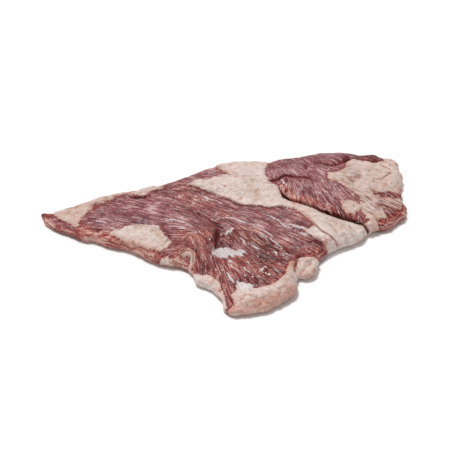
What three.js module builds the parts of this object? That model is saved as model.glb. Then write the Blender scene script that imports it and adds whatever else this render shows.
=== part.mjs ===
// Raw pork secreto: a flat, fan-shaped cut of meat lying on its trimmed side.
//
// Frame: millimetres, +Z up, origin at the middle of the underside, +X along the
// length towards the broad end. The narrow tip points to -X and the front lobe to -Y.
//
// The cut is one solid. Its plan is a closed curve, and its upper face is a height
// over that plan: muscles and fat bands as named crest lines, flaps that lie over
// their neighbours as steps, and rolls, folds and clefts as ridges and grooves.

import * as THREE from "three";

// ---------------------------------------------------------------- driving sizes

// Plan of the cut at its widest level, anticlockwise from the narrow tip.
const OUTLINE = [
  [-141, 18], [-134, 4], [-107, -13], [-96, -16], [-89, -21], [-75, -25], [-44, -43],
  [-33, -45], [-25, -52], [-20, -62], [-10, -70], [-3, -80], [-1, -89], [4, -94],
  [16, -94], [30, -90], [50, -72], [50, -62], [52, -57], [58, -57], [65, -51],
  [67, -40], [84, -24], [101, -15], [106, -8], [113, -3], [125, 1], [141, 23],
  [137, 31], [137, 45], [140, 56], [139, 68], [138, 82], [130, 87], [122, 91],
  [110, 89], [100, 93], [85, 94], [66, 89], [56, 84], [46, 82], [34, 77], [18, 75],
  [2, 71], [-16, 63], [-32, 54], [-60, 47], [-75, 40], [-90, 38], [-130, 18],
];

// The three outline points that part the rim into the sides of the surface grid:
// the narrow tip, the front lobe's foot and the broad end's back corner.
const CORNERS = [[-141, 18], [4, -94], [138, 82]];

// Height of the upper face along the crest of each muscle and fat band: [x, y, height].
const CREST_LINES = {
  leftLobeCrest: [[-136, 15, 5], [-105, 10, 12], [-66, 8, 16], [-30, -6, 18], [-14, -12, 18]],
  leftLobeFront: [[-122, 3, 8], [-90, -10, 10], [-55, -20, 13], [-32, -34, 11]],
  leftLobeShoulder: [[-98, 24, 11], [-75, 27, 12], [-50, 32, 13]],
  leftLobeBack: [[-122, 18, 8], [-106, 26, 10], [-88, 36, 10], [-66, 42, 10], [-48, 45, 11]],
  leftLobeEnd: [[-14, -12, 18], [-18, -28, 13], [-22, -42, 10]],
  middleRidge: [[-40, 34, 15], [-25, 24, 16], [-8, 13, 15]],
  backHump: [[-34, 46, 14], [-14, 48, 21], [8, 48, 23], [25, 46, 21]],
  backHumpRim: [[-24, 56, 15], [-6, 63, 18], [12, 67, 16], [30, 70, 13]],
  fatBand: [[6, 32, 21], [28, 30, 19], [52, 12, 16], [70, -2, 15], [88, -10, 12], [98, -12, 10]],
  centreBand: [[5, 4, 15], [22, 0, 16], [40, -4, 16], [55, -12, 14], [68, -26, 11]],
  centreBandFront: [[12, -10, 15], [30, -17, 14], [45, -27, 13], [58, -33, 11]],
  frontLobeBack: [[-3, -27, 11], [12, -30, 11], [30, -38, 9], [42, -44, 9]],
  frontLobe: [[2, -44, 10], [20, -50, 9], [36, -56, 9]],
  frontLobeLip: [[43, -66, 10], [30, -76, 10], [12, -82, 10]],
  frontLobeLeft: [[-12, -50, 9], [-4, -68, 8], [1, -84, 7]],
  sideNub: [[54, -50, 8], [60, -46, 9]],
  broadFlapCrest: [[40, 58, 17], [56, 60, 18], [78, 48, 17], [100, 52, 15]],
  broadFlapFront: [[48, 42, 17], [60, 32, 17], [80, 20, 15], [96, 8, 12]],
  broadFlapFat: [[92, 64, 15], [104, 40, 15], [114, 24, 12], [120, 10, 9]],
  broadFlapBack: [[42, 74, 13], [66, 83, 11], [90, 88, 10], [112, 84, 12], [126, 80, 9]],
  broadFlapUpper: [[66, 75, 14], [86, 78, 14], [104, 76, 13]],
  broadEnd: [[126, 62, 12], [130, 38, 9], [130, 22, 8]],
  broadFrontCorner: [[104, 2, 9], [114, 6, 9]],
};
const CREST_SPACING = 10; // between the heights taken along a crest line
const CREST_SPREAD = 10; // how far one of those heights carries

// Edges of flaps and layers. The raised side lies on the left of the path. rise and
// dip are the heights gained and lost at the edge, lip is the radius of the edge, and
// reach and foot are how far the rise and the dip carry on.
const FLAP_EDGES = {
  broadFlap: {
    path: [[41, 40], [42, 31], [44, 22], [48, 16], [57, 13], [66, 10], [72, 5], [80, 3], [94, 1], [105, -6]],
    rise: 4.0, lip: 3.4, reach: 26, dip: 1.8, foot: 4,
  },
  broadFlapFold: {
    path: [[30, 39], [40, 42.5], [50, 45.5], [58, 44.5], [70, 39]],
    rise: 1.8, lip: 2.5, reach: 12, dip: 1.0, foot: 3,
  },
  leftLobeEnd: {
    path: [[-12, -42], [-8, -32], [-5, -23], [-5, -15], [-11, -9], [-18, -4], [-26, 2], [-36, 9]],
    rise: 2.0, lip: 4, reach: 16, dip: 2.8, foot: 5,
  },
  centreBandEnd: {
    path: [[0, -16], [14, -18], [26, -24], [37, -31], [47, -37], [56, -38]],
    rise: 2.0, lip: 4, reach: 14, dip: 2.2, foot: 6,
  },
  fatBandFront: {
    path: [[-32, 38], [-24, 33], [-8, 23], [4, 16], [16, 9], [30, 6.5], [48, 6.5], [57, 1], [65, -10],
      [72, -20], [80, -25]],
    rise: 1.5, lip: 2.5, reach: 11, dip: 1.1, foot: 3,
  },
  leftFatStrip: {
    path: [[-86, 34], [-80, 29], [-70, 27.5], [-61, 27.5], [-54, 34], [-42, 38], [-32, 42]],
    rise: 1.5, lip: 2.4, reach: 8, dip: 1.0, foot: 3,
  },
  leftFatPatch: {
    path: [[-54, -38], [-46, -31], [-41, -24], [-44, -16], [-52, -11], [-66, -8.5], [-78, -10], [-86, -14]],
    rise: 1.0, lip: 2.4, reach: 9, dip: 0.5, foot: 3,
  },
  secondFatLayer: {
    path: [[50, -12], [58, -19], [66, -25], [76, -30]],
    rise: 1.3, lip: 2.4, reach: 8, dip: 1.1, foot: 3.5,
  },
};
const EDGE_FADE = 9; // length over which a flap edge dies out at its ends
const EDGE_SLOPE = 2.2; // half the plan width over which the surface climbs a flap edge

// Rolls and folds (height above zero) and clefts and creases (below zero).
const FOLDS = {
  frontLip: {
    path: [[50, -44], [47, -54], [44, -64], [38, -73], [28, -80], [16, -85], [6, -86]],
    height: 2.0, width: 4.5,
  },
  frontLeftRoll: { path: [[-24, -54], [-14, -64], [-6, -75], [-2, -86]], height: 1.5, width: 3.5 },
  curledFold: { path: [[-36, -38], [-28, -38], [-22, -43], [-22, -50]], height: 1.8, width: 2.8 },
  curledFoldGap: { path: [[-24, -36], [-19, -42], [-15, -50]], height: -2.0, width: 2.0 },
  frontTongue: { path: [[0, -58], [3, -70], [5, -82], [3, -90]], height: -1.4, width: 2.6 },
  sideNubGap: { path: [[51, -60], [50, -50], [53, -42], [62, -37]], height: -2.6, width: 2.2 },
  lobeEndCrevice: { path: [[-4, -17], [-6, -24], [-9, -32]], height: -2.6, width: 2.4 },
  ridgeValley: { path: [[-34, 9], [-24, 0], [-12, -8], [-3, -14]], height: -1.8, width: 2.6 },
  flapCut: { path: [[64, 67], [63.5, 61], [63, 54]], height: -2.0, width: 1.8 },
  backFoldGap: {
    path: [[66, 70], [78, 71], [85, 67], [91, 71], [99, 76], [102, 83]], height: -2.0, width: 2.2,
  },
  backRoll: { path: [[50, 72], [64, 77], [78, 80], [92, 79], [102, 84]], height: 1.6, width: 3.8 },
  backKnob: { path: [[108, 82], [118, 83], [126, 83]], height: 1.5, width: 4.0 },
  backKnobEdge: { path: [[104, 78], [112, 75], [121, 76], [126, 80]], height: -1.7, width: 2.2 },
  broadEndFold: { path: [[118, 40], [126, 44], [138, 50]], height: 1.5, width: 3.8 },
  broadEndCrease: { path: [[123, 73], [130, 66], [136, 60]], height: -1.4, width: 2.0 },
  bandCrease: { path: [[91, -4], [94, -10], [99, -14]], height: -1.1, width: 1.9 },
  bandSplit: { path: [[53, 7], [59, 1], [64, -8]], height: -1.0, width: 1.9 },
  humpCrease: { path: [[-10, 58], [-4, 50], [4, 44], [12, 42]], height: -0.9, width: 2.4 },
};

// Soft lumps all over the upper face, from coarse to fine.
const LUMPS = [
  { cell: 24, height: 1.1, seed: 3 },
  { cell: 11, height: 0.5, seed: 8 },
];

const RIM_SHARE = 0.35; // height of the widest level, as a share of the height inside it
const TOP_ROUND = 9; // plan width over which the upper face rounds down to the rim
const UNDER_ROUND = 5; // plan width over which the underside curls up to the rim
const GRID_STEPS = 88; // steps along each side of the surface grid
const COARSEST_STEPS = 11; // the same, where the grid's settling starts
const SETTLING_PASSES = 120; // for each size of grid
const CURVE_STEPS = 12; // points for each span of a smooth curve

const MEAT_COLOUR = 0x9c6d6a;
const MEAT_ROUGHNESS = 0.45;

// ---------------------------------------------------------------- curves

// One point on the centripetal Catmull-Rom span from b to c.
function splinePoint(a, b, c, d, share) {
  const knot = (p, q) => Math.sqrt(Math.hypot(q[0] - p[0], q[1] - p[1]));
  const tb = knot(a, b);
  const tc = tb + knot(b, c);
  const td = tc + knot(c, d);
  const t = tb + (tc - tb) * share;
  const mix = (p, q, from, to) => {
    const s = (t - from) / (to - from);
    return [p[0] + (q[0] - p[0]) * s, p[1] + (q[1] - p[1]) * s];
  };
  const ab = mix(a, b, 0, tb);
  const bc = mix(b, c, tb, tc);
  const cd = mix(c, d, tc, td);
  return mix(mix(ab, bc, 0, tc), mix(bc, cd, tb, td), tb, tc);
}

// A closed smooth curve through the points, starting at the first of them.
function closedCurve(points) {
  const n = points.length;
  const at = (k) => points[(k + n) % n];
  return points.flatMap((_, k) =>
    Array.from({ length: CURVE_STEPS }, (_, s) =>
      splinePoint(at(k - 1), at(k), at(k + 1), at(k + 2), s / CURVE_STEPS)));
}

// An open smooth curve through the points, with its end spans run straight on.
function openCurve(points) {
  const beyond = (p, q) => [2 * p[0] - q[0], 2 * p[1] - q[1]];
  const run = [beyond(points[0], points[1]), ...points, beyond(points.at(-1), points.at(-2))];
  const curve = [];
  for (let k = 1; k < run.length - 2; k += 1) {
    for (let s = 0; s < CURVE_STEPS; s += 1) {
      curve.push(splinePoint(run[k - 1], run[k], run[k + 1], run[k + 2], s / CURVE_STEPS));
    }
  }
  return [...curve, points.at(-1)];
}

// steps + 1 points at equal distances along a run of points.
function evenly(run, steps) {
  const along = [0];
  for (let k = 1; k < run.length; k += 1) {
    along.push(along[k - 1] + Math.hypot(run[k][0] - run[k - 1][0], run[k][1] - run[k - 1][1]));
  }
  const result = [];
  let k = 1;
  for (let s = 0; s <= steps; s += 1) {
    const target = (along.at(-1) * s) / steps;
    while (k < run.length - 1 && along[k] < target) k += 1;
    const share = (target - along[k - 1]) / (along[k] - along[k - 1]);
    result.push([0, 1].map((axis) => run[k - 1][axis] + (run[k][axis] - run[k - 1][axis]) * share));
  }
  return result;
}

// Where a point stands against a run of points: its distance, the nearest point, how
// squarely it is on the left (1) or the right (-1), and its distance from the ends.
function measureAgainst(run, x, y) {
  let best = { distance: Infinity, nearest: run[0], side: 0 };
  for (let k = 1; k < run.length; k += 1) {
    const [ax, ay] = run[k - 1];
    const dx = run[k][0] - ax;
    const dy = run[k][1] - ay;
    const length = Math.hypot(dx, dy);
    const share = THREE.MathUtils.clamp(((x - ax) * dx + (y - ay) * dy) / length ** 2, 0, 1);
    const nearest = [ax + dx * share, ay + dy * share];
    const distance = Math.hypot(x - nearest[0], y - nearest[1]);
    if (distance < best.distance) {
      const across = (dx * (y - ay) - dy * (x - ax)) / length;
      const side = distance > 0 ? THREE.MathUtils.clamp(across / distance, -1, 1) : 0;
      best = { distance, nearest, side };
    }
  }
  const endDistance = Math.min(...[run[0], run.at(-1)].map(([ex, ey]) => Math.hypot(x - ex, y - ey)));
  return { ...best, endDistance };
}

// ---------------------------------------------------------------- upper face

const rim = closedCurve(OUTLINE);
const closedRim = [...rim, rim[0]];

const crestHeights = Object.values(CREST_LINES).flatMap((line) => {
  const heights = [line.at(-1)];
  for (let k = 1; k < line.length; k += 1) {
    const [from, to] = [line[k - 1], line[k]];
    const count = Math.max(1, Math.round(Math.hypot(to[0] - from[0], to[1] - from[1]) / CREST_SPACING));
    for (let s = 0; s < count; s += 1) {
      heights.push(from.map((value, axis) => value + ((to[axis] - value) * s) / count));
    }
  }
  return heights;
});

const flapEdges = Object.values(FLAP_EDGES).map((edge) => ({ ...edge, run: openCurve(edge.path) }));
const folds = Object.values(FOLDS).map((fold) => ({ ...fold, run: openCurve(fold.path) }));

// Height between the crest lines: the mean of the nearby crest heights.
function crestHeight(x, y) {
  const farShare = 1e-4;
  const farSpread = 4 * CREST_SPREAD;
  let sum = 0;
  let weights = 0;
  for (const [cx, cy, height] of crestHeights) {
    const square = (x - cx) ** 2 + (y - cy) ** 2;
    const weight = Math.exp(-square / (2 * CREST_SPREAD ** 2))
      + farShare * Math.exp(-square / (2 * farSpread ** 2));
    sum += weight * height;
    weights += weight;
  }
  return sum / weights;
}

// Quarter round: 0 at the edge, 1 at share 1 and beyond.
function quarterRound(share) {
  return Math.sqrt(1 - (1 - THREE.MathUtils.clamp(share, 0, 1)) ** 2);
}

function flapEdgeHeight({ run, rise, lip, reach, dip, foot }, x, y) {
  const { distance, side, endDistance } = measureAgainst(run, x, y);
  const across = distance * side;
  const raised = rise * quarterRound((across + EDGE_SLOPE) / (lip + EDGE_SLOPE)) * Math.exp(-distance / reach);
  const sunk = -dip * Math.exp(-distance / foot);
  const climbed = THREE.MathUtils.smoothstep(across, -EDGE_SLOPE, EDGE_SLOPE);
  return THREE.MathUtils.lerp(sunk, raised, climbed) * THREE.MathUtils.smoothstep(endDistance, 0, EDGE_FADE);
}

function foldHeight({ run, height, width }, x, y) {
  const { distance, endDistance } = measureAgainst(run, x, y);
  return height * Math.exp(-((distance / width) ** 2)) * THREE.MathUtils.smoothstep(endDistance, 0, 2 * width);
}

// A repeatable value from -1 to 1 for one corner of a square lattice.
function latticeValue(column, row, seed) {
  const wave = Math.sin(column * 12.9898 + row * 78.233 + seed * 37.719) * 43758.5453;
  return 2 * (wave - Math.floor(wave)) - 1;
}

function lumpHeight({ cell, height, seed }, x, y) {
  const column = Math.floor(x / cell);
  const row = Math.floor(y / cell);
  const across = THREE.MathUtils.smoothstep(x / cell - column, 0, 1);
  const along = THREE.MathUtils.smoothstep(y / cell - row, 0, 1);
  const front = THREE.MathUtils.lerp(latticeValue(column, row, seed), latticeValue(column + 1, row, seed), across);
  const back = THREE.MathUtils.lerp(
    latticeValue(column, row + 1, seed), latticeValue(column + 1, row + 1, seed), across);
  return height * THREE.MathUtils.lerp(front, back, along);
}

// Height of the upper face inside the rounded rim.
function upperHeight(x, y) {
  const parts = [
    crestHeight(x, y),
    ...flapEdges.map((edge) => flapEdgeHeight(edge, x, y)),
    ...folds.map((fold) => foldHeight(fold, x, y)),
    ...LUMPS.map((lump) => lumpHeight(lump, x, y)),
  ];
  return parts.reduce((sum, part) => sum + part, 0);
}

// A point of the upper face. Grid points near the rim are drawn towards it, so that
// they are evenly spaced round the rim's quarter circle.
function upperPoint([x, y]) {
  const { distance, nearest } = measureAgainst(closedRim, x, y);
  const turn = Math.min(distance / TOP_ROUND, 1) * (Math.PI / 2);
  const drawn = distance > 0 && distance < TOP_ROUND ? (TOP_ROUND * (1 - Math.cos(turn))) / distance : 1;
  const px = nearest[0] + (x - nearest[0]) * drawn;
  const py = nearest[1] + (y - nearest[1]) * drawn;
  const full = upperHeight(px, py);
  const rimHeight = RIM_SHARE * full;
  return [px, py, rimHeight + (full - rimHeight) * Math.sin(turn)];
}

// A point of the curled part of the underside.
function underPoint([x, y]) {
  const { distance, nearest } = measureAgainst(closedRim, x, y);
  const turn = Math.min(distance / UNDER_ROUND, 1) * (Math.PI / 2);
  const drawn = distance < UNDER_ROUND ? (UNDER_ROUND * (1 - Math.cos(turn))) / distance : 1;
  const px = nearest[0] + (x - nearest[0]) * drawn;
  const py = nearest[1] + (y - nearest[1]) * drawn;
  return [px, py, RIM_SHARE * upperHeight(px, py) * (1 - Math.sin(turn))];
}

// ---------------------------------------------------------------- surface grid

// The grid is a triangle of points (i, j) with i + j <= steps, laid over the plan.
function gridIndex(i, j, steps) {
  return j * (steps + 1) - (j * (j - 1)) / 2 + i;
}

function gridPoints(steps) {
  const points = [];
  for (let j = 0; j <= steps; j += 1) {
    for (let i = 0; i <= steps - j; i += 1) points.push([i, j]);
  }
  return points;
}

// How many steps a grid point lies inside the rim.
function ringOf([i, j], steps) {
  return Math.min(i, j, steps - i - j);
}

// The rim between two corners of the grid.
function rimSide(from, to, steps) {
  const place = (corner) => rim.findIndex(([x, y]) => x === corner[0] && y === corner[1]);
  const start = place(from);
  const end = place(to) || rim.length;
  return evenly(closedRim.slice(start, end + 1), steps);
}

// Puts the outermost points of the grid on the rim.
function pinToRim(plan, steps) {
  const [tip, foot, corner] = CORNERS;
  const front = rimSide(tip, foot, steps);
  const right = rimSide(foot, corner, steps);
  const back = rimSide(corner, tip, steps);
  for (let k = 0; k <= steps; k += 1) {
    plan[gridIndex(k, 0, steps)] = front[k];
    plan[gridIndex(steps - k, k, steps)] = right[k];
    plan[gridIndex(0, steps - k, steps)] = back[k];
  }
}

// Moves each inner point to the middle of its six neighbours, again and again.
function settle(plan, steps) {
  const inner = gridPoints(steps).filter((point) => ringOf(point, steps) > 0);
  const around = [[1, 0], [-1, 0], [0, 1], [0, -1], [1, -1], [-1, 1]];
  for (let pass = 0; pass < SETTLING_PASSES; pass += 1) {
    for (const [i, j] of inner) {
      const near = around.map(([di, dj]) => plan[gridIndex(i + di, j + dj, steps)]);
      plan[gridIndex(i, j, steps)] = [0, 1].map((axis) => near.reduce((sum, p) => sum + p[axis], 0) / near.length);
    }
  }
}

// The plan of a grid with twice the steps: each new point halves an old edge.
function refined(plan, steps) {
  const fine = [];
  for (const [i, j] of gridPoints(2 * steps)) {
    const low = [Math.floor(i / 2), Math.floor(j / 2)];
    let ends = [low, [low[0] + (i % 2), low[1] + (j % 2)]];
    if (i % 2 && j % 2) ends = [[low[0] + 1, low[1]], [low[0], low[1] + 1]];
    const [p, q] = ends.map(([a, b]) => plan[gridIndex(a, b, steps)]);
    fine.push([(p[0] + q[0]) / 2, (p[1] + q[1]) / 2]);
  }
  return fine;
}

function surfacePlan() {
  let steps = COARSEST_STEPS;
  let plan = gridPoints(steps).map(([i, j]) => [0, 1].map((axis) =>
    (CORNERS[0][axis] * (steps - i - j) + CORNERS[1][axis] * i + CORNERS[2][axis] * j) / steps));
  pinToRim(plan, steps);
  settle(plan, steps);
  while (steps < GRID_STEPS) {
    plan = refined(plan, steps);
    steps *= 2;
    pinToRim(plan, steps);
    settle(plan, steps);
  }
  return plan;
}

// The grid's triangles, each as three (i, j) points, anticlockwise from above.
function gridTriangles(steps) {
  return gridPoints(steps).flatMap(([i, j]) => {
    const found = [];
    if (i + j < steps) found.push([[i, j], [i + 1, j], [i, j + 1]]);
    if (i + j < steps - 1) found.push([[i + 1, j], [i + 1, j + 1], [i, j + 1]]);
    return found;
  });
}

// The grid points of one ring, anticlockwise from above.
function ringPoints(ring, steps) {
  const low = ring;
  const high = steps - 2 * ring;
  const count = steps - 3 * ring;
  const along = Array.from({ length: count }, (_, k) => k);
  return [
    ...along.map((k) => [low + k, low]),
    ...along.map((k) => [high - k, low + k]),
    ...along.map((k) => [low, high - k]),
  ];
}

// ---------------------------------------------------------------- solid

const FLOOR_RING = 2; // the ring of the grid where the underside meets its flat middle

function meatGeometry() {
  const steps = GRID_STEPS;
  const plan = surfacePlan();
  const points = plan.map(upperPoint);
  const triangles = gridTriangles(steps);
  const faces = triangles.map((corners) => corners.map(([i, j]) => gridIndex(i, j, steps)));

  // The curled part of the underside shares the rim with the upper face.
  const underIndex = new Map();
  const underVertex = (point) => {
    const index = gridIndex(...point, steps);
    const ring = ringOf(point, steps);
    if (ring === 0) return index;
    if (!underIndex.has(index)) {
      const [x, y, z] = underPoint(plan[index]);
      underIndex.set(index, points.length);
      points.push([x, y, ring < FLOOR_RING ? z : 0]);
    }
    return underIndex.get(index);
  };
  for (const corners of triangles) {
    if (Math.min(...corners.map((point) => ringOf(point, steps))) < FLOOR_RING) {
      faces.push(corners.map(underVertex).reverse());
    }
  }

  // The flat middle of the underside.
  const floorLoop = ringPoints(FLOOR_RING, steps).map(underVertex);
  const floorPlan = floorLoop.map((index) => new THREE.Vector2(points[index][0], points[index][1]));
  for (const corners of THREE.ShapeUtils.triangulateShape(floorPlan, [])) {
    faces.push(corners.map((corner) => floorLoop[corner]).reverse());
  }

  const geometry = new THREE.BufferGeometry();
  geometry.setAttribute("position", new THREE.Float32BufferAttribute(points.flat(), 3));
  geometry.setIndex(faces.flat());
  geometry.computeBoundingBox();
  const middle = geometry.boundingBox.getCenter(new THREE.Vector3());
  geometry.translate(-middle.x, -middle.y, -geometry.boundingBox.min.z);
  geometry.computeVertexNormals();
  return geometry;
}

function porkSecreto() {
  const material = new THREE.MeshStandardMaterial({
    color: MEAT_COLOUR, roughness: MEAT_ROUGHNESS, metalness: 0,
  });
  const mesh = new THREE.Mesh(meatGeometry(), material);
  mesh.name = "pork_secreto";
  return mesh;
}

const cut = new THREE.Group();
cut.add(porkSecreto());

export default cut;
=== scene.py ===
"""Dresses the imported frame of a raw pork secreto: a flat, fan-shaped, marbled cut of meat.

The cut lies on its trimmed side, narrow tip to -X and front lobe to -Y. Sizes and
places are millimetres in the frame's own axes, and become metres when a mesh is made.
"""

from __future__ import annotations

import logging
import math
from dataclasses import dataclass, field
from enum import Enum

import bpy
import numpy as np
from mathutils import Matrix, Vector
from mathutils.bvhtree import BVHTree


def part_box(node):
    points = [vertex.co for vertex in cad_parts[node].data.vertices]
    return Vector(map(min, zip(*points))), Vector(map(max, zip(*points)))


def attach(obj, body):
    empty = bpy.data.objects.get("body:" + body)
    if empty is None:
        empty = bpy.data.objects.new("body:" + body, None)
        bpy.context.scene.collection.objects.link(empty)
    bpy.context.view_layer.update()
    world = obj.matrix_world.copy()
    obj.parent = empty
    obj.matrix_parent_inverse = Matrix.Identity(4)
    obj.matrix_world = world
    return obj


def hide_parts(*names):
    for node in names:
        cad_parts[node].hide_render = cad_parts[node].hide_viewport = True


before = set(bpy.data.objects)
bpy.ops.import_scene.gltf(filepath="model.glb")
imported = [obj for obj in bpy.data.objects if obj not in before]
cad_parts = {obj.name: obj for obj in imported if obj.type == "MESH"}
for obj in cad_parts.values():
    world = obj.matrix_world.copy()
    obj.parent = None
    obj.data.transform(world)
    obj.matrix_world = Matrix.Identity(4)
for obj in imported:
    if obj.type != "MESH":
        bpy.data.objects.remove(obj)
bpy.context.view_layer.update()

LOG = logging.getLogger("pork_secreto")

MM = 0.001
NODE = "pork_secreto"
BODY = "root"

Point = tuple[float, float]
Path = tuple[Point, ...]
Array = np.ndarray
Socket = bpy.types.NodeSocket
Stops = tuple[tuple[float, str], ...]


# ------------------------------------------------------------------ small tools


def linear(code: str) -> tuple[float, float, float, float]:
    """Turns an sRGB hex colour into the linear colour that a shader takes.

    Args:
        code: Six hex digits with a leading hash.

    Returns:
        Red, green, blue and an alpha of one.
    """
    channels = [int(code[k : k + 2], 16) / 255 for k in (1, 3, 5)]
    bent = [c / 12.92 if c <= 0.04045 else ((c + 0.055) / 1.055) ** 2.4 for c in channels]
    return (bent[0], bent[1], bent[2], 1.0)


def add_node(
    tree: bpy.types.NodeTree,
    kind: str,
    inputs: dict | None = None,
    output: int | str = 0,
    stops: Stops = (),
    **settings,
) -> Socket:
    """Adds one node to a tree, with its settings and links.

    Args:
        tree: The tree that takes the node.
        kind: The node's type name.
        inputs: A value or an output socket for each named or numbered input.
        output: Which of the node's outputs to give back.
        stops: The positions and colours of a colour ramp.
        **settings: The node's own properties.

    Returns:
        The chosen output, or the node itself where it has none.
    """
    made = tree.nodes.new(kind)
    for name, value in settings.items():
        setattr(made, name, value)
    for name, value in (inputs or {}).items():
        if isinstance(value, bpy.types.NodeSocket):
            tree.links.new(value, made.inputs[name])
        else:
            made.inputs[name].default_value = value
    for count, (position, code) in enumerate(stops):
        elements = made.color_ramp.elements
        element = elements[count] if count < len(elements) else elements.new(position)
        element.position = position
        element.color = linear(code)
    return made.outputs[output] if len(made.outputs) else made


def ease(values: Array, low: float, high: float) -> Array:
    """Rises smoothly from 0 at low to 1 at high."""
    share = np.clip((values - low) / (high - low), 0.0, 1.0)
    return share * share * (3.0 - 2.0 * share)


def lattice_value(column: Array, row: Array, seed: float) -> Array:
    """Gives a repeatable value from -1 to 1 for each corner of a square lattice."""
    wave = np.sin(column * 12.9898 + row * 78.233 + seed * 37.719) * 43758.5453
    return 2.0 * (wave - np.floor(wave)) - 1.0


def value_noise(x: Array, y: Array, seed: float) -> Array:
    """Blends the lattice values round each place.

    Args:
        x: Places across, in lattice cells.
        y: Places along, in lattice cells.
        seed: Picks the pattern.

    Returns:
        One value from -1 to 1 for each place.
    """
    column, row = np.floor(x), np.floor(y)
    across, along = ease(x - column, 0, 1), ease(y - row, 0, 1)
    front = lattice_value(column, row, seed) * (1 - across) + lattice_value(column + 1, row, seed) * across
    back = lattice_value(column, row + 1, seed) * (1 - across) + lattice_value(column + 1, row + 1, seed) * across
    return front * (1 - along) + back * along


def layered_noise(x: Array, y: Array, seed: float, octaves: int = 3) -> Array:
    """Adds ever finer turned copies of value noise, each half as strong.

    Args:
        x: Places across, in cells of the coarsest copy.
        y: Places along, in cells of the coarsest copy.
        seed: Picks the pattern.
        octaves: How many copies.

    Returns:
        One value from about -1 to 1 for each place.
    """
    total, strength, weight = np.zeros_like(x), 1.0, 0.0
    for octave in range(octaves):
        total = total + strength * value_noise(x, y, seed + 11.0 * octave)
        weight += strength
        strength *= 0.5
        x, y = 1.6 * x - 1.2 * y + 5.2, 1.2 * x + 1.6 * y + 1.3
    return total / weight


def cell_domes(x: Array, y: Array, seed: float) -> tuple[Array, Array]:
    """Gives the form of round lobules packed side by side.

    Args:
        x: Places across, in cells.
        y: Places along, in cells.
        seed: Picks the pattern.

    Returns:
        The dome's height from 0 to 1, and the distance from the groove between domes.
    """
    column, row = np.floor(x), np.floor(y)
    nearest, second = np.full(len(x), 9.0), np.full(len(x), 9.0)
    for step_x in (-1, 0, 1):
        for step_y in (-1, 0, 1):
            a, b = column + step_x, row + step_y
            centre_x = a + 0.5 + 0.42 * lattice_value(a, b, seed)
            centre_y = b + 0.5 + 0.42 * lattice_value(a, b, seed + 5.0)
            distance = np.hypot(x - centre_x, y - centre_y)
            second = np.minimum(second, np.maximum(nearest, distance))
            nearest = np.minimum(nearest, distance)
    return np.sqrt(np.clip(1 - nearest**2, 0, 1)), second - nearest


# ------------------------------------------------------------------ curves


def spline_span(a: Array, b: Array, c: Array, d: Array, steps: int) -> Array:
    """Gives points on the centripetal Catmull-Rom span from b towards c.

    Args:
        a: The point before the span.
        b: Where the span starts.
        c: Where it ends, which isn't among the points given.
        d: The point after the span.
        steps: How many points.

    Returns:
        The points, as rows.
    """
    tb = math.sqrt(np.linalg.norm(b - a))
    tc = tb + math.sqrt(np.linalg.norm(c - b))
    td = tc + math.sqrt(np.linalg.norm(d - c))
    t = (tb + (tc - tb) * np.arange(steps) / steps)[:, None]
    ab = a + (b - a) * t / tb
    bc = b + (c - b) * (t - tb) / (tc - tb)
    cd = c + (d - c) * (t - tc) / (td - tc)
    abc = ab + (bc - ab) * t / tc
    bcd = bc + (cd - bc) * (t - tb) / (td - tb)
    return abc + (bcd - abc) * (t - tb) / (tc - tb)


def closed_curve(points: Path, steps: int) -> Array:
    """Gives a closed smooth curve through the points, starting at the first."""
    p = np.array(points, float)
    n = len(p)
    spans = [spline_span(p[k - 1], p[k], p[(k + 1) % n], p[(k + 2) % n], steps) for k in range(n)]
    return np.vstack(spans)


def open_curve(points: Path, steps: int = 6) -> Array:
    """Gives an open smooth curve through the points, its end spans run straight on."""
    p = np.array(points, float)
    p = np.vstack([2 * p[0] - p[1], p, 2 * p[-1] - p[-2]])
    spans = [spline_span(p[k - 1], p[k], p[k + 1], p[k + 2], steps) for k in range(1, len(p) - 2)]
    return np.vstack([*spans, p[-2:-1]])


def evenly(run: Array, steps: int) -> Array:
    """Gives steps + 1 points at equal distances along a run of points."""
    along = np.concatenate([[0.0], np.cumsum(np.linalg.norm(np.diff(run, axis=0), axis=1))])
    target = np.linspace(0.0, along[-1], steps + 1)
    return np.stack([np.interp(target, along, run[:, axis]) for axis in (0, 1)], axis=1)


@dataclass
class Measure:
    """Where plan places stand against a run of points."""

    distance: Array
    side: Array
    nearest: Array
    along: Array
    end_distance: Array
    length: float


def measure_against(run: Array, places: Array) -> Measure:
    """Measures plan places against a run of points.

    Args:
        run: The points of the run, as rows.
        places: The plan places, as rows.

    Returns:
        For each place its distance, how squarely it is on the left (1) or right (-1),
        the nearest point, the share of the run passed and the distance from the ends.
    """
    count = len(places)
    steps = np.diff(run, axis=0)
    lengths = np.linalg.norm(steps, axis=1)
    passed = np.concatenate([[0.0], np.cumsum(lengths)])
    square, turn = np.full(count, np.inf), np.zeros(count)
    nearest, along = np.zeros((count, 2)), np.zeros(count)
    for k, (start, step, length) in enumerate(zip(run, steps, lengths)):
        away = places - start
        share = np.clip(away @ step / length**2, 0.0, 1.0)
        gap = away - share[:, None] * step
        gap_square = (gap * gap).sum(axis=1)
        closer = gap_square < square
        square[closer] = gap_square[closer]
        nearest[closer] = (places - gap)[closer]
        turn[closer] = ((step[0] * away[:, 1] - step[1] * away[:, 0]) / length)[closer]
        along[closer] = ((passed[k] + share * length) / passed[-1])[closer]
    distance = np.sqrt(square)
    ends = np.minimum(np.hypot(*(places - run[0]).T), np.hypot(*(places - run[-1]).T))
    side = np.clip(turn / np.maximum(distance, 1e-9), -1.0, 1.0)
    return Measure(distance, side, nearest, along, ends, float(passed[-1]))


def near_path(path: Path, places: Array, reach: float) -> Array:
    """Says which places lie in the box round a path, grown by reach."""
    corners = np.array(path, float)
    low, high = corners.min(axis=0) - reach, corners.max(axis=0) + reach
    return np.all((places > low) & (places < high), axis=1)


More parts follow.
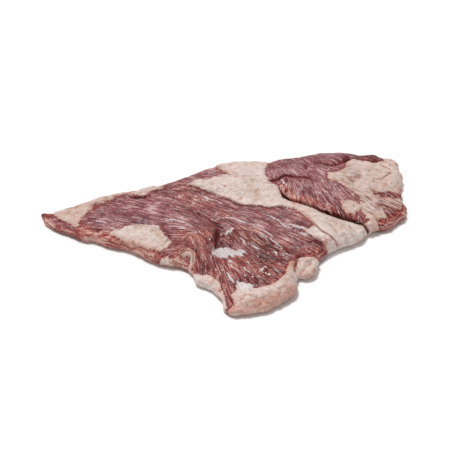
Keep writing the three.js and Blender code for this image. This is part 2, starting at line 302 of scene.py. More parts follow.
def depth_inside(outline: Path, places: Array, beyond: float = 12.0) -> Array:
    """Gives the distance from a closed outline, above zero inside it.

    Args:
        outline: The outline's points.
        places: The plan places, as rows.
        beyond: The least value given, far outside.

    Returns:
        One distance in mm for each place.
    """
    result = np.full(len(places), -beyond)
    near = near_path(outline, places, beyond)
    x, y = places[near].T
    polygon = np.array(outline, float)
    odd = np.zeros(len(x), bool)
    for (ax, ay), (bx, by) in zip(polygon, np.roll(polygon, -1, axis=0)):
        if ay != by:
            odd ^= ((ay > y) != (by > y)) & (x < (bx - ax) * (y - ay) / (by - ay) + ax)
    distance = measure_against(np.vstack([polygon, polygon[:1]]), places[near]).distance
    result[near] = np.where(odd, distance, -distance)
    return result


# ------------------------------------------------------------------ the cut's form


@dataclass(frozen=True)
class FlapEdge:
    """The edge of a flap or layer, with its raised side on the left of the path.

    The slope is half the width of the step, and the overhang is how far the raised
    side leans out over what lies below.
    """

    path: Path
    rise: float
    lip: float
    reach: float
    dip: float
    foot: float
    slope: float = 0.9
    overhang: float = 0.0


@dataclass(frozen=True)
class Fold:
    """A roll or fold, or with a height below zero a cleft or crease."""

    path: Path
    height: float
    width: float


@dataclass(frozen=True)
class Lump:
    """Soft unevenness of one size all over the upper face."""

    cell: float
    height: float
    seed: float


OUTLINE: Path = (
    (-141, 18), (-134, 4), (-107, -13), (-96, -16), (-89, -21), (-75, -25), (-44, -43),
    (-33, -45), (-25, -52), (-20, -62), (-10, -70), (-3, -80), (-1, -89), (4, -94),
    (16, -94), (30, -90), (50, -72), (50, -62), (52, -57), (58, -57), (65, -51),
    (67, -40), (84, -24), (101, -15), (106, -8), (113, -3), (125, 1), (141, 23),
    (137, 31), (137, 45), (140, 56), (139, 68), (138, 82), (130, 87), (122, 91),
    (110, 89), (100, 93), (85, 94), (66, 89), (56, 84), (46, 82), (34, 77), (18, 75),
    (2, 71), (-16, 63), (-32, 54), (-60, 47), (-75, 40), (-90, 38), (-130, 18),
)
CORNERS: Path = ((-141, 18), (4, -94), (138, 82))

CREST_LINES: dict[str, tuple[tuple[float, float, float], ...]] = {
    "left_lobe_crest": ((-136, 15, 5), (-105, 10, 12), (-66, 8, 16), (-30, -6, 18), (-14, -12, 18)),
    "left_lobe_front": ((-122, 3, 8), (-90, -10, 10), (-55, -20, 13), (-32, -34, 11)),
    "left_lobe_shoulder": ((-98, 24, 11), (-75, 27, 12), (-50, 32, 13)),
    "left_lobe_back": ((-122, 18, 8), (-106, 26, 10), (-88, 36, 10), (-66, 42, 10), (-48, 45, 11)),
    "left_lobe_end": ((-14, -12, 18), (-18, -28, 13), (-22, -42, 10)),
    "middle_ridge": ((-40, 34, 15), (-25, 24, 16), (-8, 13, 15)),
    "back_hump": ((-34, 46, 14), (-14, 48, 21), (8, 48, 23), (25, 46, 21)),
    "back_hump_rim": ((-24, 56, 15), (-6, 63, 18), (12, 67, 16), (30, 70, 13)),
    "fat_band": ((6, 32, 21), (28, 30, 19), (52, 12, 16), (70, -2, 15), (88, -10, 12), (98, -12, 10)),
    "centre_band": ((5, 4, 15), (22, 0, 16), (40, -4, 16), (55, -12, 14), (68, -26, 11)),
    "centre_band_front": ((12, -10, 15), (30, -17, 14), (45, -27, 13), (58, -33, 11)),
    "front_lobe_back": ((-3, -27, 11), (12, -30, 11), (30, -38, 9), (42, -44, 9)),
    "front_lobe": ((2, -44, 10), (20, -50, 9), (36, -56, 9)),
    "front_lobe_lip": ((43, -66, 10), (30, -76, 10), (12, -82, 10)),
    "front_lobe_left": ((-12, -50, 9), (-4, -68, 8), (1, -84, 7)),
    "side_nub": ((54, -50, 8), (60, -46, 9)),
    "broad_flap_crest": ((40, 58, 17), (56, 60, 18), (78, 48, 17), (100, 52, 15)),
    "broad_flap_front": ((48, 42, 17), (60, 32, 17), (80, 20, 15), (96, 8, 12)),
    "broad_flap_fat": ((92, 64, 15), (104, 40, 15), (114, 24, 12), (120, 10, 9)),
    "broad_flap_back": ((42, 74, 13), (66, 83, 11), (90, 88, 10), (112, 84, 12), (126, 80, 9)),
    "broad_flap_upper": ((66, 75, 14), (86, 78, 14), (104, 76, 13)),
    "broad_end": ((126, 62, 12), (130, 38, 9), (130, 22, 8)),
    "broad_front_corner": ((104, 2, 9), (114, 6, 9)),
}

FLAP_EDGES: dict[str, FlapEdge] = {
    "broad_flap": FlapEdge(
        ((41, 40), (42, 31), (44, 22), (48, 16), (57, 13), (66, 10), (72, 5), (80, 3), (94, 1), (105, -6)),
        rise=4.0, lip=3.4, reach=26, dip=1.4, foot=4, overhang=2.6,
    ),
    "broad_flap_fold": FlapEdge(
        ((30, 39), (40, 42.5), (50, 45.5), (58, 44.5), (70, 39)), rise=1.8, lip=2.5, reach=12, dip=1.0, foot=3
    ),
    "left_lobe_end": FlapEdge(
        ((-12, -42), (-8, -32), (-5, -23), (-5, -15), (-11, -9), (-18, -4), (-26, 2), (-36, 9)),
        rise=2.0, lip=4, reach=16, dip=2.8, foot=5, slope=1.5, overhang=0.8,
    ),
    "centre_band_end": FlapEdge(
        ((0, -16), (14, -18), (26, -24), (37, -31), (47, -37), (56, -38)),
        rise=2.0, lip=4, reach=14, dip=2.2, foot=6, slope=3.4,
    ),
    "fat_band_front": FlapEdge(
        ((-32, 38), (-24, 33), (-8, 23), (4, 16), (16, 9), (30, 6.5), (48, 6.5), (57, 1), (65, -10),
         (72, -20), (80, -25)),
        rise=1.5, lip=2.5, reach=11, dip=0.9, foot=3, slope=2.4,
    ),
    "left_fat_strip": FlapEdge(
        ((-86, 34), (-80, 29), (-70, 27.5), (-61, 27.5), (-54, 34), (-42, 38), (-32, 42)),
        rise=1.5, lip=2.4, reach=8, dip=1.0, foot=3, slope=1.5,
    ),
    "left_fat_patch": FlapEdge(
        ((-54, -38), (-46, -31), (-41, -24), (-44, -16), (-52, -11), (-66, -8.5), (-78, -10), (-86, -14)),
        rise=1.0, lip=2.4, reach=9, dip=0.5, foot=3, slope=1.6,
    ),
    "second_fat_layer": FlapEdge(
        ((50, -12), (58, -19), (66, -25), (76, -30)), rise=1.3, lip=2.4, reach=8, dip=1.1, foot=3.5, slope=1.6
    ),
}

FOLDS: dict[str, Fold] = {
    "front_lip": Fold(
        ((50, -44), (47, -54), (44, -64), (38, -73), (28, -80), (16, -85), (6, -86)), 2.0, 4.5
    ),
    "front_left_roll": Fold(((-24, -54), (-14, -64), (-6, -75), (-2, -86)), 1.5, 3.5),
    "curled_fold": Fold(((-36, -38), (-28, -38), (-22, -43), (-22, -50)), 1.8, 2.8),
    "curled_fold_gap": Fold(((-24, -36), (-19, -42), (-15, -50)), -2.0, 2.0),
    "front_tongue": Fold(((0, -58), (3, -70), (5, -82), (3, -90)), -1.4, 2.6),
    "side_nub_gap": Fold(((51, -60), (50, -50), (53, -42), (62, -37)), -2.6, 2.2),
    "lobe_end_crevice": Fold(((-4, -17), (-6, -24), (-9, -32)), -2.6, 2.4),
    "ridge_valley": Fold(((-34, 9), (-24, 0), (-12, -8), (-3, -14)), -1.8, 2.6),
    "flap_cut": Fold(((64, 67), (63.5, 61), (63, 54)), -2.0, 1.8),
    "back_fold_gap": Fold(((66, 70), (78, 71), (85, 67), (91, 71), (99, 76), (102, 83)), -2.0, 2.2),
    "back_roll": Fold(((50, 72), (64, 77), (78, 80), (92, 79), (102, 84)), 1.6, 3.8),
    "back_knob": Fold(((108, 82), (118, 83), (126, 83)), 1.5, 4.0),
    "back_knob_edge": Fold(((104, 78), (112, 75), (121, 76), (126, 80)), -1.7, 2.2),
    "broad_end_fold": Fold(((118, 40), (126, 44), (138, 50)), 1.5, 3.8),
    "broad_end_crease": Fold(((123, 73), (130, 66), (136, 60)), -1.4, 2.0),
    "band_crease": Fold(((91, -4), (94, -10), (99, -14)), -1.1, 1.9),
    "band_split": Fold(((53, 7), (59, 1), (64, -8)), -1.0, 1.9),
    "hump_crease": Fold(((-10, 58), (-4, 50), (4, 44), (12, 42)), -0.9, 2.4),
}

FINE_FOLDS: dict[str, Fold] = {
    "curl_roll_outer": Fold(((-36, -46), (-30, -50), (-26, -53)), 0.9, 1.5),
    "curl_roll_inner": Fold(((-33, -38), (-27, -37), (-23, -41), (-22, -47)), 0.8, 1.2),
    "curl_hollow": Fold(((-33, -43), (-28, -42), (-25, -46)), -1.5, 1.4),
    "flap_seam": Fold(((-27, -52), (-20, -57), (-13, -61)), -0.8, 1.2),
    "hump_fold_a": Fold(((-2, 60), (8, 55), (20, 55), (29, 58)), -0.5, 1.8),
    "hump_fold_b": Fold(((2, 46), (7, 42), (16, 42), (29, 43.5)), -0.7, 1.3),
    "band_fold_a": Fold(((-14, 33), (0, 30), (14, 28), (30, 22)), -0.35, 1.6),
    "band_fold_b": Fold(((4, 20), (16, 19), (28, 15), (40, 13)), -0.4, 1.4),
    "band_fold_c": Fold(((54, 8), (60, 1), (66, -9), (73, -18)), -0.7, 1.1),
    "band_fold_d": Fold(((76, 1), (79, -8), (84, -16)), -0.5, 1.4),
    "band_fold_e": Fold(((70, -17), (76, -21), (88, -22)), -0.6, 1.1),
    "end_fold_a": Fold(((104, 62), (112, 56), (122, 52)), -0.5, 1.8),
    "end_fold_b": Fold(((108, 70), (116, 64), (126, 60), (136, 58)), -0.5, 1.6),
    "end_fold_c": Fold(((120, 48), (130, 52), (138, 54)), -0.6, 1.4),
    "end_fold_d": Fold(((118, 27), (124, 31), (134, 32)), -0.8, 1.5),
    "flap_top_fold": Fold(((36, 62), (48, 56), (58, 52), (70, 50)), -0.6, 2.0),
    "flap_top_roll": Fold(((60, 48), (70, 44), (82, 40), (92, 32)), 0.6, 2.2),
    "back_hump_line": Fold(((-58, 40), (-40, 44), (-24, 45), (-10, 44)), -0.7, 1.8),
    "nub_crease": Fold(((54, -55), (59, -50), (63, -42)), -1.3, 1.2),
    "nub_knob": Fold(((60, -55), (64, -50), (65, -46)), 1.0, 2.0),
    "nub_corner": Fold(((54, -47), (57, -44)), 0.9, 1.6),
    "oval_rim": Fold(((-84, -15), (-74, -11.5), (-60, -10.5), (-48, -14), (-42, -22), (-41, -29)), 0.5, 1.6),
    "side_groove": Fold(((-128, 5), (-116, -3), (-104, -8), (-92, -14), (-80, -21), (-66, -29)), -0.8, 1.3),
}

LUMPS: tuple[Lump, ...] = (Lump(24, 1.1, 3), Lump(11, 0.5, 8))


@dataclass
class MeatForm:
    """The large form of the cut: a height over its plan, rounded down to the rim."""

    crest_spacing: float = 10.0
    crest_spread: float = 10.0
    edge_fade: float = 9.0
    rim_share: float = 0.35
    top_round: float = 9.0
    under_round: float = 5.0
    gather_reach: float = 3.2
    curve_steps: int = 6
    rim: Array = field(init=False)

    def __post_init__(self) -> None:
        """Draws the rim's closed curve."""
        self.rim = closed_curve(OUTLINE, self.curve_steps)

    @property
    def closed_rim(self) -> Array:
        """The rim with its first point again at its end."""
        return np.vstack([self.rim, self.rim[:1]])

    def crest_samples(self) -> Array:
        """Takes places and heights along every crest line, as rows."""
        samples = []
        for line in CREST_LINES.values():
            stops = np.array(line, float)
            for start, end in zip(stops[:-1], stops[1:]):
                count = max(1, round(float(np.hypot(*(end - start)[:2])) / self.crest_spacing))
                samples.extend(start + (end - start) * s / count for s in range(count))
            samples.append(stops[-1])
        return np.array(samples)

    def crest_height(self, places: Array) -> Array:
        """Gives the mean of the nearby crest heights."""
        far_share, far_spread = 1e-4, 4 * self.crest_spread
        total, weights = np.zeros(len(places)), np.zeros(len(places))
        for x, y, height in self.crest_samples():
            square = (places[:, 0] - x) ** 2 + (places[:, 1] - y) ** 2
            weight = np.exp(-square / (2 * self.crest_spread**2))
            weight += far_share * np.exp(-square / (2 * far_spread**2))
            total += weight * height
            weights += weight
        return total / weights

    def flap_height(self, edge: FlapEdge, places: Array) -> Array:
        """Gives the height that one flap edge adds or takes."""
        m = measure_against(open_curve(edge.path, self.curve_steps), places)
        across = m.distance * m.side
        share = np.clip((across + edge.slope) / (edge.lip + edge.slope), 0, 1)
        raised = edge.rise * np.sqrt(1 - (1 - share) ** 2) * np.exp(-m.distance / edge.reach)
        sunk = -edge.dip * np.exp(-m.distance / edge.foot)
        climbed = ease(across, -edge.slope, edge.slope)
        return (sunk + (raised - sunk) * climbed) * ease(m.end_distance, 0, self.edge_fade)

    def fold_height(self, fold: Fold, places: Array) -> Array:
        """Gives the height that one fold adds or takes."""
        result = np.zeros(len(places))
        near = near_path(fold.path, places, 3 * fold.width)
        m = measure_against(open_curve(fold.path, self.curve_steps), places[near])
        fade = ease(m.end_distance, 0, 2 * fold.width)
        result[near] = fold.height * np.exp(-((m.distance / fold.width) ** 2)) * fade
        return result

    def height(self, places: Array) -> Array:
        """Gives the height of the upper face inside the rounded rim."""
        total = self.crest_height(places)
        for edge in FLAP_EDGES.values():
            total += self.flap_height(edge, places)
        for fold in (*FOLDS.values(), *FINE_FOLDS.values()):
            total += self.fold_height(fold, places)
        for lump in LUMPS:
            total += lump.height * value_noise(places[:, 0] / lump.cell, places[:, 1] / lump.cell, lump.seed)
        return total

    def drawn(self, plan: Array, width: float) -> tuple[Array, Array]:
        """Draws plan places towards the rim, to be even round a quarter circle.

        Args:
            plan: The places, as rows.
            width: The quarter circle's radius.

        Returns:
            The drawn places, and the turn round the quarter circle of each.
        """
        m = measure_against(self.closed_rim, plan)
        turn = np.minimum(m.distance / width, 1.0) * math.pi / 2
        share = np.where(m.distance < width, width * (1 - np.cos(turn)) / np.maximum(m.distance, 1e-9), 1.0)
        return m.nearest + (plan - m.nearest) * share[:, None], turn

    def gathered(self, plan: Array, turn: Array) -> Array:
        """Draws plan places near each overhanging edge towards it, which makes the edge crisp."""
        plan = plan.copy()
        for edge in FLAP_EDGES.values():
            if not edge.overhang:
                continue
            near = near_path(edge.path, plan, self.gather_reach)
            m = measure_against(open_curve(edge.path, self.curve_steps), plan[near])
            pull = 1 - np.clip(m.distance / self.gather_reach, 0, 1) ** 0.6
            pull *= ease(m.end_distance, 0, 2 * self.gather_reach) * ease(turn[near], 0.7, 1.5)
            plan[near] += (m.nearest - plan[near]) * pull[:, None]
        return plan

    def leaned(self, points: Array) -> Array:
        """Leans each overhanging flap edge out over what lies below it."""
        points = points.copy()
        for edge in FLAP_EDGES.values():
            if not edge.overhang:
                continue
            near = near_path(edge.path, points[:, :2], 6)
            m = measure_against(open_curve(edge.path, self.curve_steps), points[near, :2])
            across = m.distance * m.side
            share = np.exp(-(((across - 1.6) / 1.3) ** 2)) * ease(m.end_distance, 0, self.edge_fade)
            toward = (m.nearest - points[near, :2]) / np.maximum(m.distance, 1e-9)[:, None]
            points[near, :2] += toward * (edge.overhang * share * (across > 0))[:, None]
        return points


# ------------------------------------------------------------------ surface grid


@dataclass
class SurfaceGrid:
    """A triangle of plan points (i, j), i + j <= steps, fitted to the rim."""

    form: MeatForm
    coarsest: int = 12
    steps: int = 384
    plan: Array = field(init=False)
    index: Array = field(init=False)
    ring: Array = field(init=False)

    def __post_init__(self) -> None:
        """Settles the grid from its coarsest size to its finest."""
        steps, passes, fewest = self.coarsest, 160, 24
        i, j = np.meshgrid(np.arange(steps + 1), np.arange(steps + 1), indexing="ij")
        tip, foot, corner = (np.array(c, float) for c in CORNERS)
        table = (tip * (steps - i - j)[..., None] + foot * i[..., None] + corner * j[..., None]) / steps
        self.pin(table, steps)
        self.settle(table, steps, passes)
        while steps < self.steps:
            table = self.refined(table, steps)
            steps *= 2
            passes = max(passes * 2 // 3, fewest)
            self.pin(table, steps)
            self.settle(table, steps, passes)
        i, j = np.meshgrid(np.arange(steps + 1), np.arange(steps + 1), indexing="ij")
        valid = i + j <= steps
        self.index = np.full((steps + 1, steps + 1), -1)
        self.index[valid] = np.arange(valid.sum())
        self.plan = table[valid]
        self.ring = np.minimum(np.minimum(i, j), steps - i - j)

    def side(self, start: Point, end: Point, steps: int) -> Array:
        """Gives the rim between two of its corner points, in equal steps."""
        run = self.form.closed_rim
        places = [int(np.argmin(np.hypot(*(self.form.rim - p).T))) for p in (start, end)]
        return evenly(run[places[0] : (places[1] or len(run) - 1) + 1], steps)

    def pin(self, table: Array, steps: int) -> None:
        """Puts the outermost points of the table on the rim."""
        tip, foot, corner = CORNERS
        k = np.arange(steps + 1)
        table[k, 0] = self.side(tip, foot, steps)
        table[steps - k, k] = self.side(foot, corner, steps)
        table[0, steps - k] = self.side(corner, tip, steps)

    def settle(self, table: Array, steps: int, passes: int) -> None:
        """Moves each inner point to the middle of its six neighbours, again and again."""
        i, j = np.meshgrid(np.arange(1, steps), np.arange(1, steps), indexing="ij")
        inner = (i + j < steps)[..., None]
        for _ in range(passes):
            mean = (
                table[2:, 1:-1] + table[:-2, 1:-1] + table[1:-1, 2:]
                + table[1:-1, :-2] + table[2:, :-2] + table[:-2, 2:]
            ) / 6
            table[1:-1, 1:-1] = np.where(inner, mean, table[1:-1, 1:-1])

    def refined(self, table: Array, steps: int) -> Array:
        """Gives a table with twice the steps: each new point halves an old edge."""
        fine = np.zeros((2 * steps + 1, 2 * steps + 1, 2))
        fine[::2, ::2] = table
        fine[1::2, ::2] = (table[:-1] + table[1:]) / 2
        fine[::2, 1::2] = (table[:, :-1] + table[:, 1:]) / 2
        fine[1::2, 1::2] = (table[1:, :-1] + table[:-1, 1:]) / 2
        return fine

    @staticmethod
    def triangles(steps: int, stride: int = 1) -> Array:
        """Gives the grid's triangles, each as three (i, j) rows, anticlockwise from above."""
        i, j = (a.ravel() for a in np.meshgrid(np.arange(steps), np.arange(steps), indexing="ij"))
        up = i + j < steps
        down = i + j < steps - 1
        first = np.stack([i[up], j[up], i[up] + 1, j[up], i[up], j[up] + 1], axis=1)
        second = np.stack([i[down] + 1, j[down], i[down] + 1, j[down] + 1, i[down], j[down] + 1], axis=1)
        return np.vstack([first, second]).reshape(-1, 3, 2) * stride


@dataclass
class CutMesh:
    """The points and faces of the closed surface, before its fine relief."""

    form: MeatForm
    grid: SurfaceGrid
    under_stride: int = 4
    under_rings: int = 2
    points: Array = field(init=False)
    plan: Array = field(init=False)
    turn: Array = field(init=False)
    faces: Array = field(init=False)
    upper_count: int = field(init=False)

    def __post_init__(self) -> None:
        """Makes the upper face and then the underside that shares its rim."""
        grid, ring, stride = self.grid, self.grid.ring, self.under_stride
        plan, turn = self.form.drawn(grid.plan, self.form.top_round)
        plan = self.form.gathered(plan, turn)
        full = self.form.height(plan)
        rim_height = self.form.rim_share * full
        upper = np.column_stack([plan, rim_height + (full - rim_height) * np.sin(turn)])
        self.upper_count = len(upper)
        triangles = grid.triangles(grid.steps)
        i, j = triangles[..., 0], triangles[..., 1]
        faces = [grid.index[i, j]]

        fine_rings = stride * self.under_rings
        rows, columns = np.meshgrid(*[np.arange(grid.steps + 1)] * 2, indexing="ij")
        on_coarse = (ring > fine_rings) & (rows % stride == 0) & (columns % stride == 0)
        chosen = (grid.index >= 0) & (((ring > 0) & (ring <= fine_rings)) | on_coarse)
        under_index = np.where(ring == 0, grid.index, -1)
        under_index[chosen] = self.upper_count + np.arange(chosen.sum())
        under_plan, under_turn = self.form.drawn(grid.plan[grid.index[chosen]], self.form.under_round)
        rim_level = self.form.rim_share * self.form.height(under_plan)
        under = np.column_stack([under_plan, rim_level * (1 - np.sin(under_turn))])
        curled = ring[i, j].min(axis=1) < fine_rings
        faces.append(under_index[i[curled], j[curled]][:, ::-1])
        inner_faces, middles = self.under_middle(under_index, np.vstack([upper, under]), fine_rings)
        faces.append(inner_faces)
        self.plan = np.vstack([plan, under_plan, middles[:, :2]])
        self.points = np.vstack([self.form.leaned(upper), under, middles])
        self.turn = np.concatenate([turn, -under_turn, np.full(len(middles), -math.pi / 2)])
        self.faces = np.vstack(faces)

    def under_middle(self, under_index: Array, points: Array, fine_rings: int) -> tuple[Array, Array]:
        """Fills the underside inside the curled rings with larger triangles.

        Args:
            under_index: Each grid point's place in the list of points.
            points: All points so far.
            fine_rings: How many rings have fine triangles.

        Returns:
            The faces, and the middle points added beside the curled rings.
        """
        stride, steps = self.under_stride, self.grid.steps
        faces, middles = [], []
        for corners in self.grid.triangles(steps // stride, stride):
            if self.grid.ring[corners[:, 0], corners[:, 1]].min() < fine_rings:
                continue
            loop, split = [], 0
            for start, end in zip(corners, np.roll(corners, -1, axis=0)):
                on_ring = (
                    start[0] == end[0] == fine_rings
                    or start[1] == end[1] == fine_rings
                    or start.sum() == end.sum() == steps - fine_rings
                )
                split += on_ring
                count = stride if on_ring else 1
                loop.extend(start + (end - start) * s // count for s in range(count))
            ids = [int(under_index[a, b]) for a, b in loop]
            if not split:
                faces.append(ids[::-1])
                continue
            centre = len(points) + len(middles)
            middles.append(points[ids].mean(axis=0))
            faces.extend([b, a, centre] for a, b in zip(ids, ids[1:] + ids[:1]))
        return np.array(faces), np.array(middles)

    def normals(self) -> Array:
        """Gives each point's outward direction, weighted by the area round it."""
        a, b, c = (self.points[self.faces[:, k]] for k in range(3))
        across = np.cross(b - a, c - a)
        total = np.zeros_like(self.points)
        for k in range(3):
            for axis in range(3):
                total[:, axis] += np.bincount(self.faces[:, k], across[:, axis], len(self.points))
        return total / np.maximum(np.linalg.norm(total, axis=1, keepdims=True), 1e-12)


# ------------------------------------------------------------------ tissues


class Tissue(Enum):
    """What a patch of the surface is made of."""

    FAT = "fat"
    SILVERSKIN = "silver"
    MUSCLE = "muscle"


@dataclass(frozen=True)
class Patch:
    """A patch of one tissue in the plan: its outline, and what its fat looks like.

    A tan of 1 is the brownest fat, lobules are how lumpy it is, and thin is how
    much of the muscle below it shows in streaks.
    """

    tissue: Tissue
    outline: Path
    tan: float = 0.2
    lobules: float = 0.3
    thin: float = 0.0


@dataclass(frozen=True)
class Streak:
    """A streak of silverskin in the plan: a path, and half its width at its widest."""

    path: Path
    half: float


@dataclass(frozen=True)
class Cleft:
    """A dark line in the plan with its depth cut: painted shade in fissures and pits, own colour in veins and
    streaks.
    """

    path: Path
    depth: float
    half: float
    dark: float = 1.0


@dataclass(frozen=True)
class Shade:
    """A soft stroke: a change of tone and of hue to russet, and how thin the fat is there."""

    path: Path
    half: float
    tone: float = 0.0
    russet: float = 0.0
    thin: float = 0.0


@dataclass(frozen=True)
class Muscle:
    """One muscle: where it lies, and how its fibres fan out from a far point."""

    outline: Path
    apex: Point
    tone: float = 0.0
    mauve: float = 0.0
    marbling: float = 0.3
    flecks: float = 0.1


MUSCLES: dict[str, Muscle] = {
    "under_back_strip": Muscle(
        ((-86, 31), (-76, 29.5), (-61, 28), (-57, 33), (-44, 38), (-30, 41), (-34, 44), (-50, 43), (-60, 48),
         (-70, 54), (-88, 47)),
        apex=(-300, 10),
    ),
    "lobe_end_face": Muscle(
        ((-32, -26), (-22, -21), (-12, -18), (-5, -16), (-4, -22), (-9, -33), (-12, -42), (-16, -48),
         (-24, -52), (-28, -38)),
        apex=(-36, 8), tone=-0.03, marbling=0.5,
    ),
    "middle_ridge": Muscle(
        ((-64, 44), (-60, 30), (-34, 9), (-24, 1), (-12, -8), (-4, -14), (2, -6), (6, 5), (14, 11), (4, 17),
         (-8, 24), (-24, 34), (-32, 40), (-44, 44)),
        apex=(-200, 120), tone=0.04, marbling=0.5, flecks=0.35,
    ),
    "hump_muscle": Muscle(
        ((-64, 46), (-44, 43), (-30, 41), (-5, 42), (0, 47), (-3, 53), (-8, 60), (-9, 74), (-64, 60)),
        apex=(-110, 80), tone=0.12, mauve=0.3, marbling=0.7,
    ),
    "left_lobe": Muscle(
        ((-150, 60), (-150, -60), (-34, -60), (-24, -52), (-16, -48), (-4, -22), (-4, -14), (-12, -8),
         (-24, 1), (-34, 9), (-60, 30), (-64, 60)),
        apex=(10, -28), tone=0.03, mauve=0.3, marbling=0.35,
    ),
    "centre_slope": Muscle(
        ((1, -15), (14, -17), (26, -22), (37, -29), (48, -37), (47, -43), (36, -39), (24, -34), (12, -30),
         (2, -27), (-4, -20)),
        apex=(-15, 10), tone=-0.18, marbling=0.9, flecks=0.7,
    ),
    "centre_band": Muscle(
        ((2, -6), (-4, -14), (1, -15), (14, -17), (26, -22), (37, -29), (48, -37), (66, -42), (86, -28),
         (66, -8), (57, 3), (48, 9), (16, 12), (6, 8)),
        apex=(-70, 45), tone=0.04, mauve=0.2, marbling=0.6,
    ),
    "broad_flap_front": Muscle(
        ((40, 42), (50, 45.5), (58, 44.5), (70, 39), (80, 42), (92, 36), (112, 24), (112, -8), (60, 8),
         (40, 16)),
        apex=(42, 95), tone=0.04, mauve=0.1, marbling=1.0,
    ),
    "broad_flap_top": Muscle(
        ((28, 38), (40, 42), (50, 45.5), (58, 44.5), (70, 39), (82, 46), (100, 72), (104, 100), (28, 100)),
        apex=(25, 110), tone=0.08, mauve=0.6, marbling=0.3,
    ),
    "back_knob": Muscle(((100, 70), (140, 70), (140, 100), (100, 100)), apex=(60, 92), tone=-0.02, mauve=0.3),
    "broad_end": Muscle(
        ((80, 46), (112, 24), (112, -10), (150, -10), (150, 80), (100, 80)), apex=(60, 65), mauve=0.3,
        marbling=0.9, flecks=1.0,
    ),
    "under_great_band": Muscle(
        ((-40, 44), (-30, 36), (-5, 20), (14, 8), (48, 4), (58, -2), (66, -12), (76, -24), (98, -30),
         (114, -8), (104, -2), (72, 6), (50, 16), (44, 30), (32, 46), (36, 90), (-12, 90), (-12, 60), (-4, 46)),
        apex=(-150, 95),
    ),
    "front_lobe": Muscle(
        ((-40, -30), (60, -30), (80, -110), (-40, -110)), apex=(-20, 0), tone=-0.09, marbling=0.5, flecks=1.0
    ),
}

